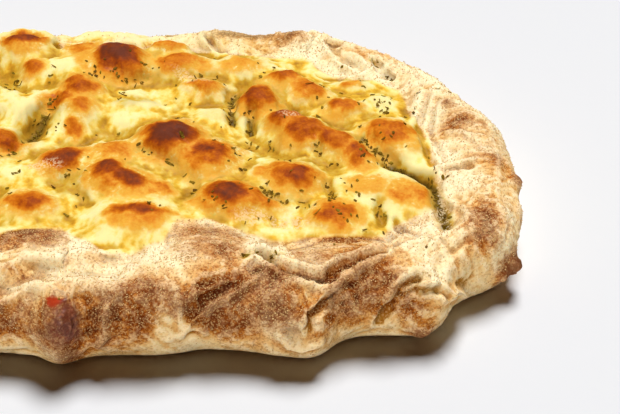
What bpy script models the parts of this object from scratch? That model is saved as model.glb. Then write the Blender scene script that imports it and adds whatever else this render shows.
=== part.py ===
"""An oval, hand-shaped focaccia with a puffed rim, blistered crumb and dried herb flakes.

The bread is one closed solid. Its plan is a superellipse with hand-made bulges. Its top is the
smooth highest of three kinds of form: the rim, which is a fat roll all round, the crumb, and the
blisters that stand out of the crumb. Folds and bumps of the rim are then pushed along the skin.
The sizes below are in millimetres, and the mesh is made in metres, with X along the bread, Z up
and the origin under the middle of the box round it.
"""

import math
import random
from typing import NamedTuple

import bmesh
import bpy
import numpy as np
from mathutils import Euler, Matrix, Vector, noise
from mathutils.bvhtree import BVHTree
from mathutils.geometry import delaunay_2d_cdt

MM = 0.001

# Plan of the loaf
HALF_LENGTH = 200.0
HALF_WIDTH = 117.0
PLAN_POWER = 2.4
OUTLINE_SAMPLES = 720
NORMAL_SPREAD = 14.0

# Section of the rim, a roll whose widest line lies at WAIST_HEIGHT
RIM_POWER = 2.3
RIM_INNER_POWER = 2.6
RIM_CREST_SHARE = 0.45
RIM_INNER_FOOT = 21.0
WAIST_HEIGHT = 15.0
FOOT_INSET = 13.0
FOOT_POWER = 2.2
FACE_END = math.radians(62.0)

# Crumb inside the rim
CRUMB_HEIGHT = 33.0
CRUMB_SWELL = 3.0
CRUMB_SWELL_LENGTH = 45.0
BLISTER_FOOT = 31.0
BLISTER_SPREAD = 1.35
BLISTER_POWER = 2.1
CREASE_SOFTNESS = 1.2

# Mesh spacing before it is thinned, and how many triangles are kept
SPACING = 3.0
BASE_SPACING = 16.0
BREAD_TRIANGLES = 8400

# Relief of the skin
LUMP_DEPTH = 1.5
LUMP_LENGTH = 30.0
WRINKLE_DEPTH = 0.5
WRINKLE_LENGTH = 10.0
LIP_OFFSET = 1.6
BASE_FLAT_BELOW = 2.0
BASE_RELIEF_FROM = 7.0

# Dried herb flakes
FLAKE_LENGTH = 4.6
FLAKE_WIDTH = 2.7
FLAKE_THICKNESS = 1.7
LOOSE_FLAKES = 46
HERB_SEED = 11


class Bulge(NamedTuple):
    """A place where the outline was pushed out, or in: degrees round, mm out, degrees wide."""

    angle: float
    reach: float
    spread: float


class Section(NamedTuple):
    """The rim at one place: degrees round the loaf, width from waist to crumb, height."""

    angle: float
    width: float
    height: float


class Blister(NamedTuple):
    """A dome of crumb: its middle, its half sizes, its turn in degrees and its top."""

    x: float
    y: float
    half_x: float
    half_y: float
    turn: float
    top: float


class Fold(NamedTuple):
    """A crease, or a ridge if depth is negative, along points (degrees round, mm up the face)."""

    path: tuple
    depth: float
    width: float
    lip: float


class Bump(NamedTuple):
    """A swelling, or a hollow if reach is negative, in the rim's own coordinates."""

    angle: float
    up: float
    half_along: float
    half_up: float
    reach: float


class Drift(NamedTuple):
    """A place where the herbs lie close together, with its spread and number of flakes."""

    x: float
    y: float
    spread_x: float
    spread_y: float
    flakes: int


OUTLINE_BULGES = (
    Bulge(-18.5, 10.0, 6.0),
    Bulge(-33.5, 15.0, 5.5),
    Bulge(-51.0, 11.0, 6.0),
    Bulge(-68.0, -3.0, 5.0),
    Bulge(-100.0, 6.0, 5.0),
    Bulge(16.0, -8.0, 8.0),
    Bulge(36.0, 5.0, 5.0),
    Bulge(50.0, 14.0, 7.0),
    Bulge(71.0, 3.0, 8.0),
    Bulge(97.0, -1.0, 6.0),
    Bulge(126.0, 6.0, 6.0),
    Bulge(150.0, 5.0, 8.0),
    Bulge(172.0, -3.0, 9.0),
    Bulge(-163.0, 5.0, 9.0),
    Bulge(-145.0, 4.0, 6.0),
    Bulge(-128.0, 5.0, 5.0),
)

# Going round from the right-hand end, first along the back
RIM_SECTIONS = (
    Section(3.0, 48.0, 40.0),
    Section(12.0, 38.0, 40.0),
    Section(22.0, 31.0, 39.0),
    Section(34.0, 36.0, 38.0),
    Section(48.0, 33.0, 37.0),
    Section(58.0, 28.0, 36.0),
    Section(71.0, 25.0, 37.0),
    Section(90.0, 25.0, 37.0),
    Section(109.0, 25.0, 35.0),
    Section(125.0, 27.0, 33.0),
    Section(142.0, 35.0, 36.0),
    Section(160.0, 43.0, 39.0),
    Section(178.0, 46.0, 40.0),
    Section(195.0, 41.0, 38.0),
    Section(212.0, 47.0, 40.0),
    Section(230.0, 54.0, 39.0),
    Section(245.0, 61.0, 38.0),
    Section(258.0, 55.0, 39.0),
    Section(272.0, 39.0, 39.0),
    Section(287.0, 51.0, 41.0),
    Section(299.0, 68.0, 42.0),
    Section(309.0, 63.0, 41.0),
    Section(320.0, 50.0, 40.0),
    Section(335.0, 42.0, 38.0),
    Section(353.0, 44.0, 39.0),
)

BACK_BLISTERS = (
    Blister(-63.0, 89.0, 20.0, 16.0, 0.0, 48.0),
    Blister(-28.0, 86.0, 14.0, 12.0, 0.0, 44.0),
    Blister(-10.0, 73.0, 20.0, 18.0, 0.0, 51.0),
    Blister(-35.0, 68.0, 22.0, 14.0, 0.0, 46.0),
    Blister(-55.0, 70.0, 9.0, 9.0, 0.0, 44.0),
    Blister(17.0, 87.0, 12.0, 8.0, 0.0, 46.0),
    Blister(24.0, 72.0, 22.0, 13.0, -10.0, 45.0),
    Blister(39.0, 52.0, 13.0, 10.0, 0.0, 44.0),
    Blister(57.0, 73.0, 20.0, 12.0, 0.0, 43.0),
    Blister(80.0, 58.0, 14.0, 9.0, -15.0, 44.0),
    Blister(93.0, 50.0, 15.0, 9.0, -20.0, 43.0),
    Blister(116.0, 58.0, 9.0, 6.0, 0.0, 40.0),
)

MIDDLE_BLISTERS = (
    Blister(-27.0, 49.0, 12.0, 12.0, 0.0, 47.0),
    Blister(-37.0, 39.0, 10.0, 10.0, 0.0, 45.0),
    Blister(-26.0, 32.0, 11.0, 11.0, 0.0, 44.0),
    Blister(-29.0, 41.0, 19.0, 21.0, 0.0, 43.0),
    Blister(-28.0, 18.0, 8.0, 8.0, 0.0, 37.0),
    Blister(-61.0, 5.0, 14.0, 14.0, 0.0, 44.0),
    Blister(-60.0, 38.0, 20.0, 16.0, 0.0, 45.0),
    Blister(0.0, 38.0, 15.0, 16.0, 0.0, 42.0),
    Blister(45.0, 27.0, 14.0, 12.0, 0.0, 41.0),
    Blister(67.0, 39.0, 14.0, 15.0, 0.0, 46.0),
    Blister(82.0, 20.0, 14.0, 10.0, 0.0, 45.0),
    Blister(93.0, 11.0, 16.0, 13.0, 0.0, 46.0),
    Blister(107.0, 4.0, 14.0, 12.0, 0.0, 44.0),
    Blister(110.0, 35.0, 12.0, 9.0, 0.0, 43.0),
    Blister(128.0, 40.0, 13.0, 12.0, 0.0, 39.0),
    Blister(135.0, 11.0, 17.0, 16.0, 0.0, 43.0),
    Blister(23.0, 5.0, 20.0, 18.0, 15.0, 49.0),
    Blister(43.0, -8.0, 18.0, 18.0, 0.0, 45.0),
)

FRONT_BLISTERS = (
    Blister(-50.0, -18.0, 16.0, 12.0, 0.0, 40.0),
    Blister(-29.0, -11.0, 15.0, 13.0, 25.0, 44.0),
    Blister(-4.0, -6.0, 19.0, 14.0, 0.0, 44.0),
    Blister(-6.0, -23.0, 13.0, 13.0, 0.0, 45.0),
    Blister(6.0, -29.0, 14.0, 12.0, -20.0, 44.0),
    Blister(2.0, -30.0, 24.0, 18.0, -15.0, 41.0),
    Blister(20.0, -34.0, 10.0, 10.0, 0.0, 39.0),
    Blister(-42.0, -43.0, 15.0, 13.0, 0.0, 41.0),
    Blister(13.0, -57.0, 25.0, 20.0, 0.0, 44.0),
    Blister(54.0, -40.0, 18.0, 14.0, -10.0, 45.0),
    Blister(68.0, -43.0, 18.0, 11.0, -12.0, 41.0),
    Blister(87.0, -25.0, 15.0, 13.0, 0.0, 44.0),
    Blister(78.0, -20.0, 18.0, 14.0, 10.0, 42.0),
    Blister(119.0, -6.0, 11.0, 13.0, 0.0, 42.0),
    Blister(121.0, -29.0, 18.0, 13.0, 0.0, 41.0),
    Blister(141.0, -37.0, 16.0, 15.0, 0.0, 39.0),
    Blister(106.0, -51.0, 15.0, 12.0, 0.0, 41.0),
)

# The end away from the blisters above is filled by a rule
FILL_SEED = 5
FILL_LEFT_OF = -72.0
FILL_GAP = 25.0
FILL_RIM_CLEARANCE = 5.0
FILL_HALF_SIZE = (12.0, 20.0)
FILL_TOP = (39.0, 48.0)
FILL_TRIES = 900

HERB_DRIFTS = (
    Drift(128.0, 24.0, 8.0, 16.0, 12),
    Drift(146.0, -10.0, 6.0, 14.0, 12),
    Drift(70.0, -14.0, 20.0, 6.0, 7),
    Drift(112.0, 44.0, 12.0, 5.0, 5),
    Drift(-60.0, 58.0, 14.0, 8.0, 5),
)

# Each path runs along a crease; the lip is on its left
RIM_FOLDS = (
    Fold(((-112.5, 27.0), (-109.2, 34.0), (-106.4, 41.0), (-93.2, 41.0), (-88.0, 38.0)), 3.0, 6.0, 0.0),
    Fold(((-112.5, 18.0), (-107.8, 28.0), (-95.8, 34.0), (-93.0, 28.0), (-88.0, 27.0)), -1.6, 3.5, 0.0),
    Fold(((-114.0, 36.0), (-109.2, 44.0), (-97.0, 52.0), (-88.0, 52.0)), -2.0, 5.0, 0.0),
    Fold(((-86.0, 23.0), (-88.9, 18.0), (-90.0, 6.0), (-91.0, 0.0)), -1.5, 3.0, 0.0),
    Fold(((-69.2, 13.0), (-66.6, 17.5), (-63.1, 22.0), (-62.5, 31.0)), 2.2, 2.5, 2.2),
    Fold(((-51.8, 8.5), (-50.9, 15.6), (-47.6, 18.5), (-45.3, 19.0)), 3.0, 2.4, 1.2),
    Fold(((-55.5, 5.0), (-54.4, 0.0), (-52.8, -1.0), (-49.8, 1.5)), -2.5, 2.5, 0.0),
    Fold(((-39.4, 0.8), (-38.4, 8.8), (-37.8, 15.0), (-36.9, 20.5), (-35.3, 23.2)), 3.0, 2.4, 1.5),
    Fold(((-37.2, 15.0), (-35.7, 18.0), (-32.6, 16.1), (-31.3, 9.7)), 2.5, 2.0, 1.2),
    Fold(((-32.6, 10.8), (-28.9, 6.3), (-26.6, 0.0)), -3.0, 3.0, 0.0),
    Fold(((-27.5, 3.0), (-26.6, 8.6), (-25.0, 14.0)), 3.5, 2.6, 1.5),
    Fold(((-28.5, 27.0), (-28.5, 33.0), (-28.0, 42.0)), 2.5, 2.5, 2.0),
    Fold(((-36.5, 41.0), (-39.1, 38.6), (-41.0, 32.5), (-45.9, 31.0), (-47.5, 37.0)), 3.5, 3.0, 2.6),
    Fold(((-26.2, 28.0), (-25.6, 19.5)), 1.2, 1.5, 0.6),
    Fold(((-24.2, 26.0), (-24.6, 15.0)), 1.2, 1.5, 0.6),
    Fold(((-22.4, 27.0), (-22.8, 16.0)), 1.0, 1.5, 0.5),
    Fold(((-28.5, 30.6), (-27.1, 35.0), (-26.2, 41.0)), 1.5, 1.6, 0.6),
    Fold(((-5.6, 50.0), (-4.8, 40.0), (-3.6, 30.0)), 2.0, 3.0, 1.0),
    Fold(((-3.5, 22.0), (-10.0, 20.0), (-14.0, 14.0)), 2.2, 5.0, 0.0),
    Fold(((29.8, 40.4), (35.0, 33.0)), 1.8, 2.5, 1.0),
    Fold(((38.1, 43.0), (40.8, 38.0), (43.3, 29.4)), 1.6, 2.5, 1.0),
)

RIM_BUMPS = (
    Bump(-98.3, 16.0, 10.0, 16.0, 4.5),
    Bump(-112.0, 62.0, 16.0, 10.0, 3.0),
    Bump(-80.0, 24.0, 14.0, 9.0, 2.5),
    Bump(-58.3, 47.3, 4.0, 4.5, -3.0),
    Bump(-56.5, 34.0, 5.0, 2.5, -2.0),
    Bump(-53.6, 6.5, 7.0, 3.5, -3.2),
    Bump(-35.5, -6.0, 6.0, 6.0, 3.0),
    Bump(-18.2, -1.0, 5.0, 5.0, 5.0),
    Bump(-5.0, 15.0, 5.0, 6.0, 2.5),
    Bump(-10.5, 9.0, 8.0, 10.0, 1.8),
    Bump(13.0, 34.0, 18.0, 12.0, 2.0),
)

# Creases and swellings of the stretch beyond the folds above, drawn by a rule
RULE_SEED = 21
RULE_FROM = 52.0
RULE_TO = 243.0
RULE_FOLDS = 26
RULE_BUMPS = 14


def wrap_degrees(angle: np.ndarray) -> np.ndarray:
    """Brings angles into the range from -180 to 180 degrees."""
    return (angle + 180.0) % 360.0 - 180.0


def plan_outline() -> tuple:
    """Returns the plan's points at equal steps, their inward normals and their angles."""
    fine = np.linspace(-180.0, 180.0, 8 * OUTLINE_SAMPLES, endpoint=False)
    cos_a = np.cos(np.radians(fine))
    sin_a = np.sin(np.radians(fine))
    oval = np.abs(cos_a / HALF_LENGTH) ** PLAN_POWER + np.abs(sin_a / HALF_WIDTH) ** PLAN_POWER
    radius = oval ** (-1.0 / PLAN_POWER)
    for bulge in OUTLINE_BULGES:
        away = wrap_degrees(fine - bulge.angle) / bulge.spread
        radius = radius + bulge.reach * np.exp(-(away**2))
    loop = np.column_stack((radius * cos_a, radius * sin_a))
    closed = np.vstack((loop, loop[:1]))
    along = np.concatenate(([0.0], np.cumsum(np.linalg.norm(np.diff(closed, axis=0), axis=1))))
    steps = np.linspace(0.0, along[-1], OUTLINE_SAMPLES, endpoint=False)
    points = np.column_stack([np.interp(steps, along, closed[:, k]) for k in range(2)])
    tangent = np.roll(points, -1, axis=0) - np.roll(points, 1, axis=0)
    window = int(NORMAL_SPREAD / (along[-1] / OUTLINE_SAMPLES))
    tangent = sum(np.roll(tangent, k, axis=0) for k in range(-window, window + 1))
    tangent /= np.linalg.norm(tangent, axis=1, keepdims=True)
    inward = np.column_stack((-tangent[:, 1], tangent[:, 0]))
    angles = np.degrees(np.arctan2(points[:, 1], points[:, 0]))
    return points, inward, angles, along[-1]


class Plan:
    """The outline of the loaf and the rim's section at any place along it."""

    def __init__(self) -> None:
        """Makes the outline and the rim's width and height along it."""
        self.points, self.inward, self.angles, self.length = plan_outline()
        self.step = self.length / len(self.points)
        rows = sorted((wrap_degrees(s.angle), s.width, s.height) for s in RIM_SECTIONS)
        knots = np.array([(a + turn, w, h) for turn in (-360.0, 0.0, 360.0) for a, w, h in rows])
        self.knots = knots
        self.width, self.height, self.crest = self.section(self.angles)

    def section(self, angles: np.ndarray) -> tuple:
        """Returns the rim's width, its height and how far in its crest lies, at some angles."""
        width = smooth_between(angles, self.knots[:, 0], self.knots[:, 1])
        height = smooth_between(angles, self.knots[:, 0], self.knots[:, 2])
        return width, height, RIM_CREST_SHARE * width

    def along_of(self, angle: float) -> float:
        """Returns the distance along the outline of a place given by its angle."""
        nearest = np.argmin(np.abs(wrap_degrees(self.angles - angle)))
        return nearest * self.step

    def nearest(self, xy: np.ndarray) -> tuple:
        """Returns how far points are from the outline, and the index of its nearest point."""
        depth = np.empty(len(xy))
        index = np.empty(len(xy), dtype=int)
        for start in range(0, len(xy), 4000):
            block = xy[start : start + 4000]
            offset = block[:, None, :] - self.points[None, :, :]
            square = (offset**2).sum(axis=2)
            best = square.argmin(axis=1)
            index[start : start + 4000] = best
            depth[start : start + 4000] = np.sqrt(square[np.arange(len(block)), best])
        return depth, index


def smooth_between(at: np.ndarray, knots: np.ndarray, values: np.ndarray) -> np.ndarray:
    """Eases from each value to the next one between the knots."""
    right = np.clip(np.searchsorted(knots, at), 1, len(knots) - 1)
    left = right - 1
    share = (at - knots[left]) / (knots[right] - knots[left])
    share = share * share * (3.0 - 2.0 * share)
    return values[left] * (1.0 - share) + values[right] * share


def fill_blisters(plan: Plan) -> list:
    """Scatters blisters over the end of the crumb that the lists leave bare."""
    draw = random.Random(FILL_SEED)
    listed = BACK_BLISTERS + MIDDLE_BLISTERS + FRONT_BLISTERS
    placed = [(b.x, b.y) for b in listed if b.x < FILL_LEFT_OF + FILL_GAP]
    found = []
    for _ in range(FILL_TRIES):
        x = draw.uniform(-HALF_LENGTH, FILL_LEFT_OF)
        y = draw.uniform(-HALF_WIDTH, HALF_WIDTH)
        size = draw.uniform(*FILL_HALF_SIZE)
        top = draw.uniform(*FILL_TOP)
        squash = draw.uniform(0.75, 1.0)
        turn = draw.uniform(-90.0, 90.0)
        depth, index = plan.nearest(np.array([[x, y]]))
        inside = math.hypot(x / HALF_LENGTH, y / HALF_WIDTH) < 1.0
        if not inside or depth[0] < plan.width[index[0]] - FILL_RIM_CLEARANCE:
            continue
        if any(math.hypot(x - px, y - py) < FILL_GAP for px, py in placed):
            continue
        placed.append((x, y))
        found.append(Blister(x, y, size, size * squash, turn, top))
    return found


def rim_profile(depth: np.ndarray, width: np.ndarray, height: np.ndarray, crest: np.ndarray) -> np.ndarray:
    """Returns the rim's height at a depth from the outline."""
    outer = np.clip(1.0 - depth / crest, 0.0, 1.0)
    rising = WAIST_HEIGHT + (height - WAIST_HEIGHT) * (1.0 - outer**RIM_POWER) ** (1.0 / RIM_POWER)
    inner = np.maximum(depth - crest, 0.0) / (width - crest)
    falling = height - (height - RIM_INNER_FOOT) * inner**RIM_INNER_POWER
    return np.where(depth < crest, rising, falling)


def crumb_height(xy: np.ndarray) -> np.ndarray:
    """Returns the height of the crumb between the blisters."""
    swell = [noise.noise(Vector((x, y, 0.0)) / CRUMB_SWELL_LENGTH) for x, y in xy]
    return CRUMB_HEIGHT + CRUMB_SWELL * np.array(swell)


def blister_height(xy: np.ndarray, blister: Blister) -> np.ndarray:
    """Returns the height of one dome, which falls away without end outside its foot."""
    turn = math.radians(blister.turn)
    dx = xy[:, 0] - blister.x
    dy = xy[:, 1] - blister.y
    along = (dx * math.cos(turn) + dy * math.sin(turn)) / blister.half_x
    across = (dy * math.cos(turn) - dx * math.sin(turn)) / blister.half_y
    radius = np.hypot(along, across) / BLISTER_SPREAD
    return blister.top - (blister.top - BLISTER_FOOT) * radius**BLISTER_POWER


def top_height(xy: np.ndarray, depth: np.ndarray, plan: Plan, blisters: list) -> np.ndarray:
    """Returns the smooth highest of the rim, the crumb and the blisters."""
    width, height, crest = plan.section(np.degrees(np.arctan2(xy[:, 1], xy[:, 0])))
    rim = rim_profile(depth, width, height, crest)
    forms = [rim, crumb_height(xy)] + [blister_height(xy, b) for b in blisters]
    highest = np.max(forms, axis=0)
    near = [np.exp(np.maximum((form - highest) / CREASE_SOFTNESS, -30.0)) for form in forms]
    return highest + CREASE_SOFTNESS * np.log(np.sum(near, axis=0))


class Skin:
    """The mesh of the bread in millimetres, with rim coordinates for each of its vertices."""

    def __init__(self, plan: Plan, spacing: float, base_spacing: float) -> None:
        """Makes the face of the rim, the top and the flat base."""
        self.plan = plan
        self.spacing = spacing
        self.columns = int(plan.length / spacing)
        self.column = (np.arange(self.columns) * len(plan.points) / self.columns).astype(int)
        self.points = []
        self.up = []
        self.place = []
        self.faces = []
        self.lay_face(spacing)
        self.lay_top(spacing)
        self.lay_base(base_spacing)
        self.co = np.vstack(self.points)
        self.up = np.concatenate(self.up)
        self.place = np.concatenate(self.place)

    def count(self) -> int:
        """Returns how many vertices are laid so far."""
        return sum(len(block) for block in self.points)

    def ring(self, inset: np.ndarray, height: np.ndarray) -> np.ndarray:
        """Returns one ring of the face at an inset and a height that change round the loaf."""
        xy = self.plan.points[self.column] + self.plan.inward[self.column] * inset[:, None]
        return np.column_stack((xy, height))

    def lay_face(self, spacing: float) -> None:
        """Lays the rings of the rim's outer face, from the foot up past the waist."""
        crest = self.plan.crest[self.column]
        rise = self.plan.height[self.column] - WAIST_HEIGHT
        rings = []
        foot_rings = max(3, round(math.hypot(FOOT_INSET, WAIST_HEIGHT) * 1.15 / spacing))
        for turn in np.linspace(math.pi / 2.0, 0.0, foot_rings, endpoint=False):
            inset = FOOT_INSET * (1.0 - math.cos(turn) ** (2.0 / FOOT_POWER))
            height = WAIST_HEIGHT * (1.0 - math.sin(turn) ** (2.0 / FOOT_POWER))
            rings.append(self.ring(np.full(self.columns, inset), np.full(self.columns, height)))
        face_rings = max(4, round(FACE_END * 24.0 / spacing))
        for turn in np.linspace(0.0, FACE_END, face_rings + 1):
            inset = crest * (1.0 - math.cos(turn) ** (2.0 / RIM_POWER))
            height = WAIST_HEIGHT + rise * math.sin(turn) ** (2.0 / RIM_POWER)
            rings.append(self.ring(inset, height))
        stack = np.array(rings)
        strides = np.linalg.norm(np.diff(stack, axis=0), axis=2)
        travelled = np.concatenate((np.zeros((1, self.columns)), np.cumsum(strides, axis=0)))
        travelled -= travelled[foot_rings]
        for level, ring in enumerate(rings):
            self.points.append(ring)
            self.up.append(travelled[level])
            self.place.append(self.column.copy())
        for level in range(len(rings) - 1):
            self.join(level * self.columns, (level + 1) * self.columns)
        self.rim_start = (len(rings) - 1) * self.columns
        self.end_inset = crest * (1.0 - math.cos(FACE_END) ** (2.0 / RIM_POWER))
        self.end_up = travelled[-1]

    def join(self, low: int, high: int) -> None:
        """Joins two rings of vertices by triangles that face outward."""
        for k in range(self.columns):
            after = (k + 1) % self.columns
            self.faces.append((low + k, low + after, high + after))
            self.faces.append((low + k, high + after, high + k))

    def fill(self, ring: np.ndarray, inner: np.ndarray, first: int, upward: bool) -> None:
        """Fills a ring, whose vertices start at first, with the inner points and triangles."""
        start = self.count()
        flat = [Vector(p) for p in np.vstack((ring[:, :2], inner))]
        edges = [(k, (k + 1) % len(ring)) for k in range(len(ring))]
        verts, _, faces, origins, _, _ = delaunay_2d_cdt(flat, edges, [], 1, 1e-5)
        if len(verts) != len(flat):
            raise RuntimeError("the ring of the rim crosses itself")
        where = [first + o[0] if o[0] < len(ring) else start + o[0] - len(ring) for o in origins]
        for a, b, c in faces:
            face = (where[a], where[b], where[c])
            self.faces.append(face if upward else face[::-1])

    def grid(self, clearance: np.ndarray, spacing: float) -> tuple:
        """Returns a triangular grid of points that lie deeper inside than the clearance."""
        rows = []
        row_step = spacing * math.sqrt(0.75)
        reach = self.plan.points.max(axis=0) + spacing
        for level in range(int(-reach[1] / row_step), int(reach[1] / row_step) + 1):
            shift = 0.5 * spacing * (level % 2)
            xs = np.arange(-reach[0] - spacing, reach[0] + spacing, spacing) + shift
            rows.append(np.column_stack((xs, np.full(len(xs), level * row_step))))
        xy = np.vstack(rows)
        depth, index = self.plan.nearest(xy)
        outward = ((xy - self.plan.points[index]) * self.plan.inward[index]).sum(axis=1)
        keep = (outward > 0.0) & (depth > clearance[index])
        return xy[keep], depth[keep], index[keep]

    def lay_top(self, spacing: float) -> None:
        """Fills the last ring of the face with a grid; its heights are set later."""
        inset = np.interp(np.arange(len(self.plan.points)), self.column, self.end_inset)
        up = np.interp(np.arange(len(self.plan.points)), self.column, self.end_up)
        xy, depth, index = self.grid(inset + 0.75 * spacing, spacing)
        ring = self.points[-1]
        self.fill(ring, xy, self.rim_start, True)
        self.top_start = self.count()
        self.points.append(np.column_stack((xy, np.zeros(len(xy)))))
        self.top_depth = depth
        self.up.append(up[index] + depth - inset[index])
        self.place.append(index)

    def lay_base(self, spacing: float) -> None:
        """Fills the ring of the foot with a coarse, flat grid."""
        clearance = np.full(len(self.plan.points), FOOT_INSET + 0.7 * spacing)
        xy, _, index = self.grid(clearance, spacing)
        self.fill(self.points[0], xy, 0, False)
        self.points.append(np.column_stack((xy, np.zeros(len(xy)))))
        self.up.append(np.full(len(xy), -2.0 * WAIST_HEIGHT))
        self.place.append(index)

    def raise_top(self, blisters: list) -> None:
        """Sets the heights of the top."""
        end = self.top_start + len(self.top_depth)
        xy = self.co[self.top_start : end, :2]
        self.co[self.top_start : end, 2] = top_height(xy, self.top_depth, self.plan, blisters)

    def normals(self) -> np.ndarray:
        """Returns the unit normal of each vertex."""
        faces = np.array(self.faces)
        a, b, c = (self.co[faces[:, k]] for k in range(3))
        normal = np.cross(b - a, c - a)
        total = np.zeros_like(self.co)
        for k in range(3):
            np.add.at(total, faces[:, k], normal)
        return total / np.maximum(np.linalg.norm(total, axis=1, keepdims=True), 1e-9)

    def push(self, amount: np.ndarray) -> None:
        """Moves the vertices along their normals, and leaves the base flat."""
        span = BASE_RELIEF_FROM - BASE_FLAT_BELOW
        share = np.clip((self.co[:, 2] - BASE_FLAT_BELOW) / span, 0.0, 1.0)
        self.co += self.normals() * (amount * share)[:, None]

    def distance_along(self, angle: float) -> np.ndarray:
        """Returns how far each vertex is along the outline from a place given by its angle."""
        away = self.place * self.plan.step - self.plan.along_of(angle)
        half = 0.5 * self.plan.length
        return (away + half) % self.plan.length - half


def on_rim(skin: Skin) -> np.ndarray:
    """Returns 1 on the rim and 0 on the crumb, with a soft change between them."""
    width = skin.plan.width[skin.place]
    return np.clip((width - skin.up) / 12.0 + 1.0, 0.0, 1.0)


def lumps(skin: Skin) -> np.ndarray:
    """Returns the uneven swelling of the skin, coarse and fine."""
    coarse = [noise.noise(Vector(p) / LUMP_LENGTH) for p in skin.co]
    fine = [noise.noise(Vector(p) / WRINKLE_LENGTH) for p in skin.co]
    return LUMP_DEPTH * np.array(coarse) * on_rim(skin) + WRINKLE_DEPTH * np.array(fine)


def rule_folds() -> list:
    """Draws creases for the stretch of rim that the lists leave plain."""
    draw = random.Random(RULE_SEED)
    folds = []
    for k in range(RULE_FOLDS):
        angle = RULE_FROM + (RULE_TO - RULE_FROM) * (k + draw.random()) / RULE_FOLDS
        up = draw.uniform(0.0, 36.0)
        stride = draw.choice((-1.0, 1.0)) * draw.uniform(2.0, 4.0)
        climb = draw.uniform(-5.0, 5.0)
        bend = draw.uniform(-3.0, 3.0)
        path = tuple((angle + stride * s, up + climb * s + bend * s * s) for s in (-1.0, 0.0, 1.0))
        folds.append(Fold(path, draw.uniform(1.2, 3.2), draw.uniform(2.2, 3.6), draw.uniform(0.4, 2.0)))
    return folds


def rule_bumps() -> list:
    """Draws swellings and hollows for the stretch of rim that the lists leave plain."""
    draw = random.Random(RULE_SEED)
    bumps = []
    for k in range(RULE_BUMPS):
        angle = RULE_FROM + (RULE_TO - RULE_FROM) * (k + draw.random()) / RULE_BUMPS
        half = draw.uniform(7.0, 16.0)
        reach = draw.choice((-1.0, 1.0, 1.0)) * draw.uniform(1.2, 3.6)
        bumps.append(Bump(angle, draw.uniform(0.0, 34.0), half, half * draw.uniform(0.6, 1.0), reach))
    return bumps


def fold_relief(skin: Skin, fold: Fold) -> np.ndarray:
    """Returns the relief of a crease with a raised lip, no narrower than the mesh can hold."""
    width = max(fold.width, skin.spacing)
    nearest = np.full(len(skin.co), 1e6)
    above = np.zeros(len(skin.co))
    for (angle_a, up_a), (angle_b, up_b) in zip(fold.path, fold.path[1:]):
        along_b = skin.plan.along_of(angle_b) - skin.plan.along_of(angle_a)
        half = 0.5 * skin.plan.length
        along_b = (along_b + half) % skin.plan.length - half
        run = np.array([along_b, up_b - up_a])
        offset = np.column_stack((skin.distance_along(angle_a), skin.up - up_a))
        share = np.clip(offset @ run / (run @ run), 0.0, 1.0)
        away = offset - share[:, None] * run
        distance = np.hypot(away[:, 0], away[:, 1])
        side = run[0] * offset[:, 1] - run[1] * offset[:, 0]
        closer = distance < nearest
        nearest = np.where(closer, distance, nearest)
        above = np.where(closer, np.sign(side) * distance, above)
    groove = -fold.depth * np.exp(-((nearest / width) ** 2))
    ridge = fold.lip * np.exp(-((above / width - LIP_OFFSET) ** 2))
    return groove + ridge * np.exp(-((nearest / (2.0 * LIP_OFFSET * width)) ** 2))


def bump_relief(skin: Skin, bump: Bump) -> np.ndarray:
    """Returns the relief of a round swelling of the rim."""
    along = skin.distance_along(bump.angle) / bump.half_along
    up = (skin.up - bump.up) / bump.half_up
    return bump.reach * np.exp(-(along**2 + up**2))


def shape_skin(spacing: float, base_spacing: float) -> Skin:
    """Makes the whole skin of the bread at the given spacing of its vertices."""
    plan = Plan()
    skin = Skin(plan, spacing, base_spacing)
    blisters = list(BACK_BLISTERS + MIDDLE_BLISTERS + FRONT_BLISTERS)
    skin.raise_top(blisters + fill_blisters(plan))
    bumps = list(RIM_BUMPS) + rule_bumps()
    skin.push(sum((bump_relief(skin, bump) for bump in bumps), lumps(skin)))
    folds = list(RIM_FOLDS) + rule_folds()
    skin.push(sum(fold_relief(skin, fold) for fold in folds))
    return skin


def make_mesh(name: str, skin: Skin) -> bpy.types.Mesh:
    """Writes the skin into a mesh in metres."""
    mesh = bpy.data.meshes.new(name)
    mesh.from_pydata((skin.co * MM).tolist(), [], skin.faces)
    mesh.update()
    return mesh


def clear_scene() -> None:
    """Removes every object, so that the file holds the bread alone."""
    for obj in list(bpy.data.objects):
        bpy.data.objects.remove(obj, do_unlink=True)


def apply_modifier(obj: bpy.types.Object) -> None:
    """Replaces an object's mesh by what its modifiers make of it, and drops them."""
    graph = bpy.context.evaluated_depsgraph_get()
    result = bpy.data.meshes.new_from_object(obj.evaluated_get(graph))
    obj.modifiers.clear()
    obj.data = result


def make_bread() -> bpy.types.Object:
    """Makes the bread without its herbs, thinned to few triangles."""
    bread = bpy.data.objects.new("focaccia", make_mesh("focaccia", shape_skin(SPACING, BASE_SPACING)))
    bpy.context.scene.collection.objects.link(bread)
    thin = bread.modifiers.new("thin", "DECIMATE")
    thin.ratio = BREAD_TRIANGLES / len(bread.data.polygons)
    apply_modifier(bread)
    for vertex in bread.data.vertices:
        if vertex.co.z < 0.5 * MM:
            vertex.co.z = 0.0
    return bread


def flake_places() -> list:
    """Returns where the herb flakes lie in plan: close in the drifts, loose elsewhere."""
    draw = random.Random(HERB_SEED)
    places = []
    for drift in HERB_DRIFTS:
        for _ in range(drift.flakes):
            places.append((draw.gauss(drift.x, drift.spread_x), draw.gauss(drift.y, drift.spread_y)))
    while len(places) < LOOSE_FLAKES + sum(drift.flakes for drift in HERB_DRIFTS):
        x = draw.uniform(-0.8, 0.8)
        y = draw.uniform(-0.75, 0.8)
        if math.hypot(x, y) < 0.85:
            places.append((x * HALF_LENGTH, y * HALF_WIDTH))
    return places


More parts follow.
